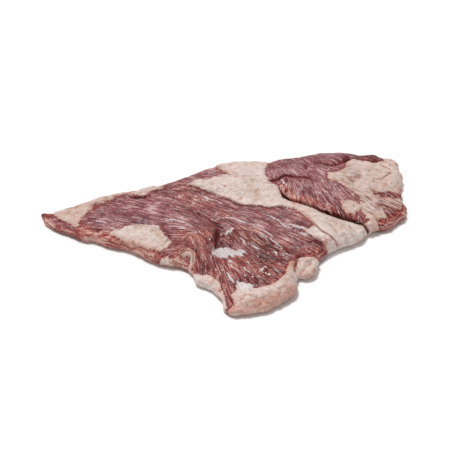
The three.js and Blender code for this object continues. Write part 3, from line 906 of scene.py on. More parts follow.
PATCHES: dict[str, Patch] = {
    "tip_fat": Patch(Tissue.FAT, (
        (-131, 11), (-124, 3), (-116, -1), (-110, -5), (-109, 2), (-104, 8), (-101, 13), (-100, 19), (-93, 21),
        (-86, 26), (-84, 33), (-84, 48), (-100, 44), (-120, 30), (-130, 19)), tan=0.55, lobules=0.3, thin=0.15),
    "front_oval": Patch(Tissue.FAT, (
        (-86, -16), (-80, -13), (-75, -10), (-65, -9), (-58, -10), (-50, -13), (-46, -18), (-42, -23),
        (-39, -28), (-42, -34), (-48, -37), (-58, -33), (-66, -29), (-75, -23)), tan=0.15, lobules=0.5),
    "back_strip": Patch(Tissue.FAT, (
        (-84, 31), (-76, 30), (-71, 29.5), (-66, 28), (-61, 28.5), (-57, 33), (-52, 36.5), (-44, 38), (-36, 40),
        (-30, 41), (-34, 44), (-50, 42), (-60, 47), (-68, 52), (-84, 44)), tan=0.2, lobules=0.5, thin=0.55),
    "great_band": Patch(Tissue.FAT, (
        (-31, 39.5), (-25, 35), (-15, 27.5), (-5, 22), (3, 17.5), (10, 12.5), (17, 9.5), (30, 7), (45, 7),
        (53, 5.5), (58, 0), (62, -5), (66, -9), (70, -16), (75, -21), (81, -25), (95, -28), (112, -10),
        (104, -4), (94, 1.5), (80, 3), (72, 5), (66, 10), (57, 13), (49, 15), (44, 19), (43, 27), (41, 36),
        (34, 40), (31, 46), (31, 54), (33, 66), (34, 84), (0, 84), (-9, 68), (-8, 60), (-3, 53), (0, 47),
        (-5, 42.5), (-22, 42)), tan=0.1, lobules=0.25),
    "side_nub": Patch(Tissue.FAT, (
        (52, -41), (58, -41), (70, -42), (68, -52), (60, -60), (53, -60), (51, -52)), tan=0.25, lobules=1.0),
    "front_lip": Patch(Tissue.FAT, (
        (50, -43), (46, -48), (44, -52), (43, -60), (38, -67), (31, -73), (26, -75), (20, -76), (19, -71),
        (12, -68), (7, -70), (8, -76), (5, -79), (4, -82), (6, -86), (5, -89), (3, -92), (4, -99), (30, -99),
        (56, -78), (54, -60)), tan=0.1, lobules=1.0),
    "front_left_flap": Patch(Tissue.FAT, (
        (-32, -50), (-24, -52), (-18, -59), (-12, -60), (-8, -62), (-4, -68), (-2, -74), (0, -80), (1, -86),
        (2, -91), (-4, -96), (-16, -74), (-28, -64)), tan=0.15, lobules=0.3),
    "curled_fold": Patch(Tissue.FAT, (
        (-34, -39), (-30, -37), (-26, -37), (-22, -41), (-21, -46), (-22, -51), (-27, -55), (-27, -49),
        (-25, -44), (-28, -41), (-33, -42)), tan=0.1, lobules=0.2, thin=0.25),
    "curl_foot": Patch(Tissue.FAT, (
        (-47, -41), (-41, -41), (-36, -44), (-32, -45), (-33, -50), (-46, -48)), tan=0.0, lobules=0.2),
    "broad_end_fat": Patch(Tissue.FAT, (
        (80, 50), (84, 53), (90, 57), (95, 62), (96, 68), (99, 73), (102, 77), (108, 76), (111, 74), (118, 73),
        (122, 76), (127, 78), (130, 92), (150, 92), (150, 50), (139, 46), (138, 25), (134, 15), (126, 8),
        (118, 3), (109, -2), (104, 2), (99, 8), (97, 3), (90, 5), (88, 9), (87, 18), (95, 20), (101, 18),
        (103, 22), (98, 30), (92, 36), (84, 40), (79, 46)), tan=0.4, lobules=0.35, thin=0.15),
    "flap_triangle": Patch(Tissue.MUSCLE, ((98, 7), (102, 8.5), (105, 3), (104, -2), (100, 0))),
    "corner_knot": Patch(Tissue.FAT, (
        (103, -4), (106, -1), (110, 1), (114, 0), (117, -4), (112, -10), (104, -12)), tan=0.0, lobules=1.0),
    "end_mauve": Patch(Tissue.MUSCLE, (
        (114, 30), (121, 34.5), (130, 36), (138, 35), (134, 31), (126, 28.5), (118, 27.5))),
    "end_mottle": Patch(Tissue.MUSCLE, ((119, 13), (125, 12), (131, 14), (127, 8), (121, 5))),
    "second_layer": Patch(Tissue.FAT, (
        (57, -17), (61, -16.5), (63, -12), (66, -8), (72, -12), (76, -18), (82, -23), (86, -27),
        (80, -34), (74, -31), (69, -27), (64, -23), (60, -20)), tan=0.0, lobules=0.2),
    "front_smear": Patch(Tissue.SILVERSKIN, (
        (-10, -34), (-8, -32), (-3, -32), (2, -31), (8, -34), (12, -34), (16, -37), (13, -40), (7, -42),
        (0, -43.5), (-5, -42), (-10, -38))),
    "lip_smear": Patch(Tissue.SILVERSKIN, (
        (2, -63), (6, -65), (9, -64), (9, -66), (12, -68), (20, -71), (19, -76), (12, -78), (7, -75), (6, -69))),
}

STREAKS: dict[str, Streak] = {
    "centre_arc": Streak(((-7, -6), (0, -4), (7, -4), (13, -8), (20, -12), (25, -14)), 0.9),
    "centre_arc_end": Streak(((28, -1), (34, -4), (39, -8)), 0.6),
    "centre_streak": Streak(((40, -9), (47, -13), (54, -15)), 0.8),
    "centre_streak_low": Streak(((20, -14), (27, -18), (34, -23)), 0.8),
    "centre_streak_far": Streak(((30, 0), (38, -6), (46, -15)), 0.5),
    "slope_white_left": Streak(((-1, -19), (3, -17), (6, -15)), 1.5),
    "slope_white_a": Streak(((10, -22), (13, -26), (15, -30)), 0.9),
    "slope_white_b": Streak(((17, -26), (21, -30), (25, -34)), 1.0),
    "slope_white_c": Streak(((24, -21), (29, -25), (33, -29)), 0.6),
    "slope_white_d": Streak(((30, -24), (36, -29), (41, -34)), 0.6),
    "layer_tear_a": Streak(((47, -10), (53, -13), (60, -16), (64, -19)), 1.5),
    "layer_tear_b": Streak(((51, -16), (57, -19), (62, -22)), 0.9),
    "front_blob": Streak(((2, -45), (5, -47)), 1.9),
    "front_fleck_a": Streak(((35, -35), (37, -39)), 1.5),
    "front_fleck_b": Streak(((27, -53), (24, -57)), 1.6),
    "front_fleck_c": Streak(((15, -47), (17, -48)), 0.9),
    "front_streak_a": Streak(((12, -52), (15, -56), (18, -59)), 0.8),
    "front_streak_b": Streak(((0, -56), (2, -59), (4, -64), (6, -72)), 0.8),
    "front_streak_c": Streak(((3, -50), (8, -55), (14, -62)), 0.5),
    "ridge_fleck_a": Streak(((-36, 26), (-35, 23)), 1.6),
    "ridge_fleck_b": Streak(((-17, 24), (-14, 22), (-13, 18.5)), 1.6),
    "ridge_streak": Streak(((-13, 21), (-8, 19), (-2, 15)), 0.7),
    "valley_fleck": Streak(((-6.5, 3), (-6.5, 0)), 0.8),
    "valley_flecks": Streak(((2, 7), (6, 6)), 0.9),
    "lobe_streak_a": Streak(((-48, -6), (-38, -9), (-28, -14), (-20, -18)), 0.6),
    "lobe_streak_b": Streak(((-52, 17), (-40, 10), (-30, 4)), 0.5),
    "lobe_streak_c": Streak(((-42, -13), (-32, -17), (-18, -22)), 0.5),
    "left_rim_streak": Streak(((-98, -1), (-91, -4), (-84, -9), (-80, -12)), 0.5),
    "left_low_streak": Streak(((-75, -7.5), (-68, -8), (-60, -8.5)), 0.6),
    "flap_streak_a": Streak(((50, 57), (54, 50), (56, 46)), 0.7),
    "flap_streak_b": Streak(((37, 52), (38, 47), (38, 42)), 0.8),
    "flap_streak_c": Streak(((44, 43), (45, 37), (47, 31)), 1.0),
}

SHADES: dict[str, Shade] = {
    # Lower tone: painted shade in the valley.
    "valley": Shade(((-38, 12), (-24, 1), (-12, -8), (-4, -15)), 4.5, -0.24, 0.7),
    "ridge": Shade(((-32, 22), (-15, 10), (-2, 2)), 8.0, 0.0, 0.55),
    "lobe_end": Shade(((-30, -24), (-16, -26), (-7, -21)), 8.0, 0.0, 1.3),
    "lobe_sheen": Shade(((-58, 6), (-48, 0), (-37, -9)), 8.0, 0.12),
    "lobe_end_low": Shade(((-20, -32), (-16, -42), (-12, -50)), 6.0, -0.08, 0.8),
    "hump_blush": Shade(((4, 60), (16, 60), (28, 58)), 12.0, russet=0.25),
    "tip_blush": Shade(((-122, 10), (-108, 16), (-96, 26)), 8.0, russet=0.14),
    # Lower tone: painted shade in the crevice.
    "crevice": Shade(((-5, -17), (-7, -28)), 3.0, -0.35, 0.8),
    "slope": Shade(((2, -20), (14, -22), (28, -29), (42, -38)), 7.0, -0.06, 1.2),
    "fringe": Shade(((7, -15), (15, -17), (24, -20)), 2.4, 0.2, 1.6),
    "front_middle": Shade(((4, -50), (18, -50), (36, -58)), 13.0, 0.0, 0.85),
    "front_pits": Shade(((28, -38), (36, -43), (44, -44)), 6.0, -0.24, 0.4),
    "lip_border": Shade(((49, -45), (44, -54), (41, -62), (34, -70)), 4.0, 0.06, 1.4),
    "front_left": Shade(((-14, -46), (-8, -56), (0, -70), (3, -86)), 6.0, 0.1, 0.7),
    "curl": Shade(((-34, -40), (-27, -38), (-22, -43), (-22, -51)), 4.5, 0.2, 1.3),
    "lip_front": Shade(((48, -72), (40, -82), (28, -89), (16, -93), (6, -93)), 5.5, russet=1.0),
    "thin_end": Shade(((100, 26), (112, 20), (124, 16), (132, 22)), 9.0, thin=1.0),
    "thin_end_back": Shade(((92, 40), (100, 48), (98, 60)), 6.0, thin=0.7),
    "thin_end_right": Shade(((114, 33), (124, 31), (136, 36)), 5.0, thin=1.0),
    "thin_corner": Shade(((106, 6), (114, 8), (126, 10)), 4.0, thin=0.6),
    "thin_tip": Shade(((-102, 8), (-98, 20), (-86, 30)), 4.0, thin=0.6),
    "thin_hump": Shade(((-2, 46), (-4, 54), (-7, 62)), 4.0, thin=0.6),
    "thin_strip": Shade(((-80, 36), (-66, 34), (-48, 40)), 4.0, thin=0.7),
    "thin_band": Shade(((-28, 39), (-16, 31), (-4, 25)), 3.5, thin=0.5),
    "stripe_foot": Shade(((45, 28), (49, 19), (58, 15), (72, 12)), 4.5, 0.02, 1.4),
    "stripe_base": Shade(((72, 12), (84, 7), (97, 3)), 4.5, -0.2, 0.8),
    "band_end": Shade(((57, 4), (62, -3), (66, -8)), 3.0, 0.08, 0.8),
    # Lower tone: painted shade under the fat layer's edge.
    "below_layer": Shade(((57, -22), (65, -29), (73, -32)), 4.5, -0.22, 0.5),
    "nub_side": Shade(((49, -40), (60, -37), (72, -32)), 3.5, 0.05, 1.2),
    "tip": Shade(((-141, 18), (-133, 15)), 6.0, -0.06, 1.2),
    "tip_edge": Shade(((-134, 20), (-124, 25)), 3.0, -0.2, 0.8),
    "left_foot": Shade(((-108, -8), (-92, -15), (-70, -27), (-46, -38)), 4.0, 0.0, 1.0),
    "broad_side": Shade(((110, -2), (124, 3), (134, 14), (139, 26), (137, 44)), 4.5, -0.08, 1.1),
    # Lower tone: painted shade in the fold gap.
    "upper_fold": Shade(((76, 71), (88, 68), (99, 77)), 3.5, -0.25, 0.8),
    "knob": Shade(((106, 80), (118, 79), (126, 82)), 5.0, -0.15, 0.6),
}

# In fissures, pits and under the broad flap the darkness is painted shade; in veins and streaks it is the tissue's
# own colour.
CLEFTS: dict[str, Cleft] = {
    "flap_shadow": Cleft(((72, 6), (79, 2.2), (86, 1), (94, -0.5), (100, -2.5), (105, -6)), 0.9, 1.0),
    "flap_corner": Cleft(((42.5, 24), (44.5, 19), (49, 15)), 0.8, 1.1, 0.8),
    "flap_side": Cleft(((36, 39), (41, 33), (42.5, 25)), 0.4, 0.6, 0.5),
    "flap_fold": Cleft(((31, 39.8), (36, 40.5), (42, 43), (50, 45.3), (58, 44.5)), 0.5, 0.6, 0.85),
    "flap_fold_end": Cleft(((58, 44.5), (64, 42), (70, 39)), 0.5, 0.6, 0.7),
    "band_shadow": Cleft(((-4, 15.5), (4, 10.5), (11, 7.5), (18, 6)), 0.5, 0.9, 0.8),
    "band_line": Cleft(((16, 6.5), (30, 5.6), (46, 5.3)), 0.3, 0.55, 0.65),
    "hump_vein": Cleft(((-12, 58), (-4, 53), (0, 51), (2, 46), (6, 43), (12, 42)), 0.3, 0.55, 0.25),
    "band_vein_a": Cleft(((14, 20), (18, 24), (22, 28)), 0.1, 0.4, 0.28),
    "band_vein_b": Cleft(((2, 24), (10, 22), (18, 16)), 0.1, 0.4, 0.25),
    "band_vein_c": Cleft(((72, -6), (78, -10), (82, -17)), 0.3, 0.5, 0.4),
    "band_vein_d": Cleft(((66, 2), (74, -3), (84, -6)), 0.1, 0.4, 0.28),
    "band_vein_e": Cleft(((30, 37), (36, 37), (41, 40)), 0.3, 0.5, 0.5),
    "end_vein_a": Cleft(((116, 50), (121, 51), (127, 56), (131, 60)), 0.3, 0.5, 0.4),
    "end_vein_b": Cleft(((118, 62), (124, 60), (132, 61)), 0.2, 0.45, 0.35),
    "lip_vein_a": Cleft(((14, -84), (22, -86), (30, -84)), 0.3, 0.7, 0.3),
    "lip_vein_b": Cleft(((32, -80), (38, -77), (44, -72)), 0.3, 0.6, 0.3),
    "nub_vein": Cleft(((54, -55), (59, -50), (63, -42)), 0.4, 0.6, 0.4),
    "valley_shadow": Cleft(((-30, 6), (-21, -1), (-14, -6), (-7, -12), (-2, -14)), 1.2, 1.2, 0.7),
    "crevice": Cleft(((-6, -19), (-6, -24), (-7, -28)), 1.6, 1.3, 1.0),
    "curl_line": Cleft(((-20, -40), (-17, -46), (-14, -50)), 1.0, 0.9, 0.8),
    "curl_inner": Cleft(((-33, -40.5), (-29, -38.8), (-25.5, -39.2), (-23.3, -42.5), (-23.3, -51)), 0.5, 0.6, 0.5),
    "strip_fissure": Cleft(((-72, 28), (-68, 26.8), (-62, 26.8), (-60, 29)), 1.2, 0.8, 1.0),
    "strip_crack": Cleft(((-76, 45), (-75, 38), (-73.5, 30)), 0.7, 0.6, 0.5),
    "strip_spot": Cleft(((-86, 42), (-83, 41)), 0.8, 1.3, 0.6),
    "flap_cut": Cleft(((64, 66), (63.5, 60), (63, 55)), 1.2, 0.7, 0.9),
    "back_fold": Cleft(((80, 70), (85, 67.5), (90, 70), (97, 74), (101, 79)), 1.2, 0.9, 0.85),
    "knob_line": Cleft(((110, 76), (115, 74.5), (121, 76)), 1.0, 0.9, 0.8),
    "layer_line": Cleft(((55, 4), (61, -3), (66, -10), (70, -16), (76, -21.5), (83, -26)), 0.8, 0.75, 0.6),
    "end_notch": Cleft(((103, -3), (106, -7), (109, -9)), 1.8, 1.2, 0.9),
    "end_crease": Cleft(((124, 72), (130, 66.5), (133, 64)), 0.8, 0.7, 0.5),
    "end_line": Cleft(((122, 52), (126, 56), (131, 61)), 0.6, 0.6, 0.6),
    "band_crease": Cleft(((92, -5), (94, -10), (97, -13)), 0.6, 0.7, 0.5),
    "front_pit_a": Cleft(((28, -30), (33, -33), (38, -35)), 1.0, 1.3, 0.75),
    "front_pit_b": Cleft(((40, -40), (44, -42), (46, -45)), 0.9, 1.4, 0.65),
    "front_pit_c": Cleft(((23, -50), (26, -47), (31, -45)), 0.8, 0.9, 0.55),
    "front_pit_d": Cleft(((32, -49), (36, -47), (38, -43)), 0.8, 0.8, 0.5),
    "slope_pit": Cleft(((11, -21), (15, -24), (17, -26)), 0.8, 0.9, 0.6),
    "lip_pit": Cleft(((20, -74), (24, -72), (27, -73)), 0.7, 0.8, 0.55),
    "nub_line": Cleft(((50, -57), (50, -50), (52, -44)), 1.0, 0.8, 0.5),
    "end_streak_a": Cleft(((111, 17), (114, 13), (117, 11)), 0.3, 0.5, 0.45),
    "end_streak_b": Cleft(((115, 20), (119, 15), (122, 12)), 0.3, 0.5, 0.5),
    "end_streak_c": Cleft(((120, 20), (124, 16), (127, 14)), 0.3, 0.5, 0.45),
    "end_streak_d": Cleft(((112, 28), (116, 26), (119, 25)), 0.3, 0.6, 0.5),
    "end_streak_e": Cleft(((108, 33), (111, 35)), 0.3, 0.6, 0.45),
    "end_streak_f": Cleft(((100, 48), (102, 44)), 0.3, 0.5, 0.35),
    "end_streak_g": Cleft(((97, 33), (101, 31), (104, 30)), 0.3, 0.6, 0.4),
}


@dataclass
class Grain:
    """How the muscle lies at each place: its fibres' run, and its looks."""

    along: Array
    across: Array
    number: Array
    direction: Array
    tone: Array
    mauve: Array
    marbling: Array
    flecks: Array
    russet: Array
    thin: Array


@dataclass
class TissueMap:
    """Works out, for plan places, what tissue lies there and how its grain runs."""

    places: Array
    torn: float = 1.5
    toothed: float = 0.9
    gap_dark: float = 0.6
    bare_rims: tuple[str, ...] = ("broad_flap",)
    grain: Grain = field(init=False)

    def __post_init__(self) -> None:
        """Finds each place's muscle and fibre run."""
        count = len(self.places)
        taken = np.zeros(count, bool)
        names = ("along", "across", "number", "tone", "mauve", "marbling", "flecks")
        columns = {name: np.zeros(count) for name in names}
        direction = np.zeros((count, 2))
        for number, muscle in enumerate(MUSCLES.values()):
            last = number == len(MUSCLES) - 1
            here = ~taken & (last | (depth_inside(muscle.outline, self.places) > 0))
            taken |= here
            away = self.places[here] - muscle.apex
            radius = np.hypot(*away.T)
            middle = np.mean(muscle.outline, axis=0) - muscle.apex
            angle = np.arctan2(away[:, 1], away[:, 0]) - math.atan2(middle[1], middle[0])
            angle = (angle + math.pi) % (2 * math.pi) - math.pi
            direction[here] = away / np.maximum(radius, 1e-9)[:, None]
            looks = (muscle.tone, muscle.mauve, muscle.marbling, muscle.flecks)
            for name, value in zip(names, (radius, angle * np.hypot(*middle), 17.0 * (number + 1), *looks)):
                columns[name][here] = value
        russet, thin = np.zeros(count), np.zeros(count)
        for shade in SHADES.values():
            near = near_path(shade.path, self.places, 2.2 * shade.half)
            m = measure_against(open_curve(shade.path), self.places[near])
            weight = np.exp(-((m.distance / shade.half) ** 2))
            columns["tone"][near] += shade.tone * weight
            russet[near] = np.maximum(russet[near], shade.russet * weight)
            thin[near] = np.maximum(thin[near], shade.thin * weight)
        self.grain = Grain(direction=direction, russet=russet, thin=thin, **columns)

    def ragged(self, seed: float, share: float = 1.0) -> Array:
        """Shifts the places a little, so that outlines come out torn and toothed.

        Args:
            seed: Picks the pattern.
            share: The strength, where 1 is the full one.

        Returns:
            The shifted places.
        """
        x, y = self.places.T
        broad = [layered_noise(x / 7, y / 7, seed + k, 3) for k in (0.0, 20.0)]
        fine = [layered_noise(x / 2, y / 2, seed + k, 2) for k in (5.0, 25.0)]
        torn = self.torn * np.stack(broad, axis=1) + 0.35 * np.stack(fine, axis=1)
        teeth = layered_noise(self.grain.along / 12, self.grain.across / 2.4, seed + 3, 2)
        return self.places + share * (torn + self.toothed * teeth[:, None] * self.grain.direction)

    def fat(self) -> dict[str, Array]:
        """Gives how deep each place lies in fat, and that fat's tan and lobules."""
        places = self.ragged(40.0)
        streaky = layered_noise(self.grain.along / 16, self.grain.across / 2.2, 61.0, 2)
        result = {
            "fat": np.full(len(places), -12.0), "tan": np.full(len(places), 0.2),
            "lobules": np.full(len(places), 0.3),
        }
        for patch in PATCHES.values():
            depth = depth_inside(patch.outline, places)
            if patch.tissue is Tissue.FAT:
                depth -= patch.thin * 7.0 * np.maximum(streaky + 0.15, 0) * (depth > 0)
                deeper = depth > result["fat"]
                result["fat"] = np.where(deeper, depth, result["fat"])
                for name in ("tan", "lobules"):
                    result[name] = np.where(deeper, getattr(patch, name), result[name])
            if patch.tissue is Tissue.MUSCLE:
                result["fat"] = np.minimum(result["fat"], -depth)
        for name in self.bare_rims:
            m = measure_against(open_curve(FLAP_EDGES[name].path), self.places)
            across = m.distance * m.side
            on_wall = (across > -0.8) & (across < 2.2) & (m.end_distance > 6)
            result["fat"] = np.where(on_wall, np.minimum(result["fat"], -4.0), result["fat"])
        return result

    def silverskin(self) -> Array:
        """Gives how deep each place lies in silverskin, in mm, below zero outside."""
        places = self.ragged(90.0, 1.2)
        result = np.full(len(places), -12.0)
        bare = 2.6 * np.maximum(layered_noise(self.grain.along / 9, self.grain.across / 1.8, 63.0, 2), 0)
        for patch in PATCHES.values():
            if patch.tissue is Tissue.SILVERSKIN:
                result = np.maximum(result, depth_inside(patch.outline, places) - bare)
        places = self.ragged(95.0, 0.6)
        for streak in STREAKS.values():
            near = near_path(streak.path, places, 8)
            m = measure_against(open_curve(streak.path), places[near])
            taper = 0.8 - 0.6 * np.abs(2 * m.along - 1) ** 2
            result[near] = np.maximum(result[near], streak.half * taper - m.distance)
        return result

    def clefts(self) -> tuple[Array, Array]:
        """Gives each place's darkness from 0 to 1 and the depth cut there; fissures get painted shade, veins their
        own colour.
        """
        places = self.ragged(70.0, 0.45)
        dark, depth = np.zeros(len(places)), np.zeros(len(places))
        for cleft in CLEFTS.values():
            near = near_path(cleft.path, places, 5)
            m = measure_against(open_curve(cleft.path), places[near])
            half = cleft.half * (1.0 - 0.7 * np.abs(2 * m.along - 1) ** 2)
            line = np.exp(-((m.distance / half) ** 2))
            dark[near] = np.maximum(dark[near], cleft.dark * line)
            depth[near] = np.maximum(depth[near], cleft.depth * line)
        gaps = ease(layered_noise(self.grain.along / 9, self.grain.across / 1.5, 77.0, 2), 0.22, 0.5)
        return np.maximum(dark, self.gap_dark * gaps * self.grain.thin), depth


# ------------------------------------------------------------------ finishes


@dataclass(frozen=True)
class Pattern:
    """A noise pattern: which coordinates it follows, and its feature size in mm."""

    follows: str
    size: tuple[float, float, float]
    detail: float = 2.0
    twist: float = 0.0


@dataclass(frozen=True)
class RawPork:
    """Raw pork, knife-cut and trimmed: moist muscle fibres, firm back fat, thin silverskin.

    The fibres give fine streaks from mauve-brown to pale pink that follow each muscle,
    the fat is matt, warm white and veined, and a film of moisture adds a soft sheen.
    """

    name: str = "raw_pork_muscle_and_fat"
    lean: Stops = (
        (0.12, "#431216"), (0.33, "#6e2f33"), (0.5, "#8a4548"), (0.67, "#a66768"), (0.88, "#d6b0ae"),
    )
    russet: Stops = (
        (0.12, "#4c110e"), (0.35, "#7d2d28"), (0.52, "#9a423a"), (0.69, "#ba6c5d"), (0.88, "#dab1a1"),
    )
    fat: Stops = (
        (0.05, "#9c5c46"), (0.28, "#bd9582"), (0.46, "#cfb5aa"), (0.62, "#dac7bf"), (0.88, "#ebe2de"),
    )
    mauve: str = "#80505f"
    pale_streak: str = "#dfc5c1"
    dark_streak: str = "#561e20"
    fat_vein: str = "#b0664c"
    blush: str = "#c17a5e"
    veil: str = "#b39384"
    fat_film: str = "#b58b84"
    border: str = "#8c3429"
    seam: str = "#85484a"
    silver: str = "#dfd6d7"
    # A red rim (the own red of veins, and the edge of painted shade) and a near-black core, painted shade in
    # fissures and pits.
    cleft_edge: str = "#82312a"
    cleft: str = "#4c1512"
    patterns: tuple[tuple[str, Pattern], ...] = (
        ("bundle", Pattern("grain", (17.0, 2.0, 1.0), 3.0, 0.15)),
        ("fibre", Pattern("grain", (10.0, 1.0, 1.0), 2.0, 0.15)),
        ("pale", Pattern("grain", (16.0, 1.7, 1.0), 2.0, 0.2)),
        ("dark", Pattern("grain", (10.0, 1.5, 1.0), 2.0, 0.15)),
        ("broad", Pattern("place", (15.0, 15.0, 15.0), 2.0)),
        ("mottle", Pattern("place", (4.5, 4.5, 4.5), 3.0)),
        ("speck", Pattern("place", (1.3, 1.3, 1.3), 2.0)),
    )
    vein_cell: tuple[float, float, float] = (11.0, 6.0, 9.0)
    lean_roughness: float = 0.4
    fat_roughness: float = 0.52
    refraction: float = 1.38

    def build(self) -> bpy.types.Material:
        """Makes the material.

        Returns:
            The material, which reads the mesh's own attributes.
        """
        material = bpy.data.materials.new(self.name)
        material.use_nodes = True
        tree = material.node_tree
        tree.nodes.clear()
        read = {
            name: add_node(tree, "ShaderNodeAttribute", output="Fac", attribute_name=name)
            for name in (
                "fat", "silver", "cleft", "tone", "mauve", "russet", "marbling", "tan", "side", "thin", "gap",
                "seam",
            )
        }
        seen = self.noises(tree, read["side"])
        fat_mask = self.edge_mask(tree, read["fat"], seen, -0.3, 0.5)
        silver_mask = self.edge_mask(tree, read["silver"], seen, -0.35, 0.5)
        colour = self.layered(
            tree, self.lean_colour(tree, read, seen),
            (
                (self.weighted(tree, (seen["fibre"], 3.0), (seen["bundle"], 3.0), (read["fat"], 0.38), start=-2.0),
                 self.fat_film, 0.5),
                (self.line(tree, read["fat"], 0.0, 1.3), self.border, 0.7),
                (fat_mask, self.fat_colour(tree, read, seen), 1.0),
                (silver_mask, self.silver_colour(tree, seen), 0.92),
                # The dark lines: painted shade in fissures and pits, the own red of veins and streaks.
                (self.weighted(tree, (read["cleft"], 2.2), start=-0.1), self.cleft_edge, 0.8),
                (self.weighted(tree, (read["cleft"], 2.2), start=-0.9), self.cleft, 1.0),
            ),
        )
        lean_relief = self.weighted(tree, (seen["bundle"], 0.8), (seen["fibre"], 0.6), (seen["speck"], 0.25))
        crease = self.line(tree, seen["vein"], 0.0, 0.09)
        fat_relief = self.weighted(tree, (seen["mottle"], 1.7), (seen["speck"], 0.35), (crease, -0.03))
        relief, rough = (
            add_node(tree, "ShaderNodeMix", {0: fat_mask, 2: a, 3: b}, data_type="FLOAT")
            for a, b in ((lean_relief, fat_relief), (self.lean_roughness, self.fat_roughness))
        )
        strength = self.weighted(tree, (read["seam"], -0.9), start=0.9)
        bump = add_node(tree, "ShaderNodeBump", {"Height": relief, "Strength": strength, "Distance": 1.5 * MM})
        shader = add_node(
            tree, "ShaderNodeBsdfPrincipled",
            {
                "Base Color": colour, "Roughness": rough, "IOR": self.refraction, "Normal": bump,
                "Specular IOR Level": 0.4,
                "Subsurface Weight": 0.1, "Subsurface Radius": (1.0, 0.35, 0.25), "Subsurface Scale": 2.0 * MM,
                "Coat Weight": 0.08, "Coat Roughness": 0.2,
            },
        )
        add_node(tree, "ShaderNodeOutputMaterial", {"Surface": shader})
        return material

    def noises(self, tree: bpy.types.NodeTree, side: Socket) -> dict[str, Socket]:
        """Makes every noise pattern. Those that follow the grain turn along the rim at the sides.

        Args:
            tree: The material's tree.
            side: How far each place is on the side face.

        Returns:
            Each pattern's value from 0 to 1, and fat's vein net under "vein".
        """
        place = add_node(tree, "ShaderNodeTexCoord", output="Object")
        rimwise, grain = (
            add_node(tree, "ShaderNodeAttribute", output="Vector", attribute_name=name)
            for name in ("rimwise", "grain")
        )
        runs = {"grain": ((grain, 1.0), (rimwise, 1.0)), "place": ((place, MM),)}
        seen = {}
        for name, pattern in self.patterns:
            values = []
            for run, unit in runs[pattern.follows]:
                scale = tuple(1 / (size * unit) for size in pattern.size)
                cells = add_node(tree, "ShaderNodeVectorMath", {0: run, 1: scale}, operation="MULTIPLY")
                values.append(add_node(
                    tree, "ShaderNodeTexNoise",
                    {"Vector": cells, "Scale": 1.0, "Detail": pattern.detail, "Distortion": pattern.twist},
                ))
            if len(values) == 2:
                values = [add_node(tree, "ShaderNodeMix", {0: side, 2: values[0], 3: values[1]}, data_type="FLOAT")]
            seen[name] = add_node(tree, "ShaderNodeMath", {0: values[0], 1: 0.5}, operation="SUBTRACT")
        scale = tuple(1 / (size * MM) for size in self.vein_cell)
        cells = add_node(tree, "ShaderNodeVectorMath", {0: place, 1: scale}, operation="MULTIPLY")
        bend = add_node(tree, "ShaderNodeTexNoise", {"Vector": cells, "Scale": 1.7, "Detail": 3.0}, "Color")
        bent = add_node(tree, "ShaderNodeVectorMath", {0: bend, 1: cells}, operation="ADD")
        seen["vein"] = add_node(
            tree, "ShaderNodeTexVoronoi", {"Vector": bent, "Scale": 1.0}, feature="DISTANCE_TO_EDGE"
        )
        return seen

    def weighted(
        self, tree: bpy.types.NodeTree, *terms: tuple[Socket, float], start: float = 0.0
    ) -> Socket:
        """Adds up weighted values.

        Args:
            tree: The material's tree.
            *terms: A value and its weight.
            start: What the sum starts from.

        Returns:
            The sum.
        """
        total = start
        for value, weight in terms:
            total = add_node(tree, "ShaderNodeMath", {0: value, 1: weight, 2: total}, operation="MULTIPLY_ADD")
        return total

    def edge_mask(
        self, tree: bpy.types.NodeTree, depth: Socket, seen: dict[str, Socket], low: float, high: float
    ) -> Socket:
        """Gives a patch's mask, its edge frayed along the fibres.

        Args:
            tree: The material's tree.
            depth: How deep each place lies in the patch, in mm.
            seen: The noise patterns.
            low: The depth where the patch starts to show.
            high: The depth where it covers all.

        Returns:
            The mask from 0 to 1.
        """
        frayed = self.weighted(tree, (seen["fibre"], 3.2), (seen["speck"], 2.2), (depth, 1.0))
        return add_node(
            tree, "ShaderNodeMapRange", {"Value": frayed, "From Min": low, "From Max": high},
            interpolation_type="SMOOTHSTEP",
        )

    def line(self, tree: bpy.types.NodeTree, value: Socket, middle: float, half: float) -> Socket:
        """Gives a soft line where a value is near its middle."""
        away = add_node(tree, "ShaderNodeMath", {0: value, 1: middle}, operation="SUBTRACT")
        far = add_node(tree, "ShaderNodeMath", {0: away}, operation="ABSOLUTE")
        return add_node(
            tree, "ShaderNodeMapRange", {"Value": far, "From Min": half, "From Max": 0.0},
            interpolation_type="SMOOTHSTEP",
        )

    def layered(
        self, tree: bpy.types.NodeTree, colour: Socket, layers: tuple[tuple[Socket, Socket | str, float], ...]
    ) -> Socket:
        """Lays colours over each other, each by its mask and strength."""
        for mask, over, strength in layers:
            share = add_node(tree, "ShaderNodeMath", {0: mask, 1: 0.0}, operation="MAXIMUM", use_clamp=True)
            share = add_node(tree, "ShaderNodeMath", {0: share, 1: strength}, operation="MULTIPLY")
            shown = linear(over) if isinstance(over, str) else over
            colour = add_node(tree, "ShaderNodeMix", {0: share, 6: colour, 7: shown}, 2, data_type="RGBA")
        return colour

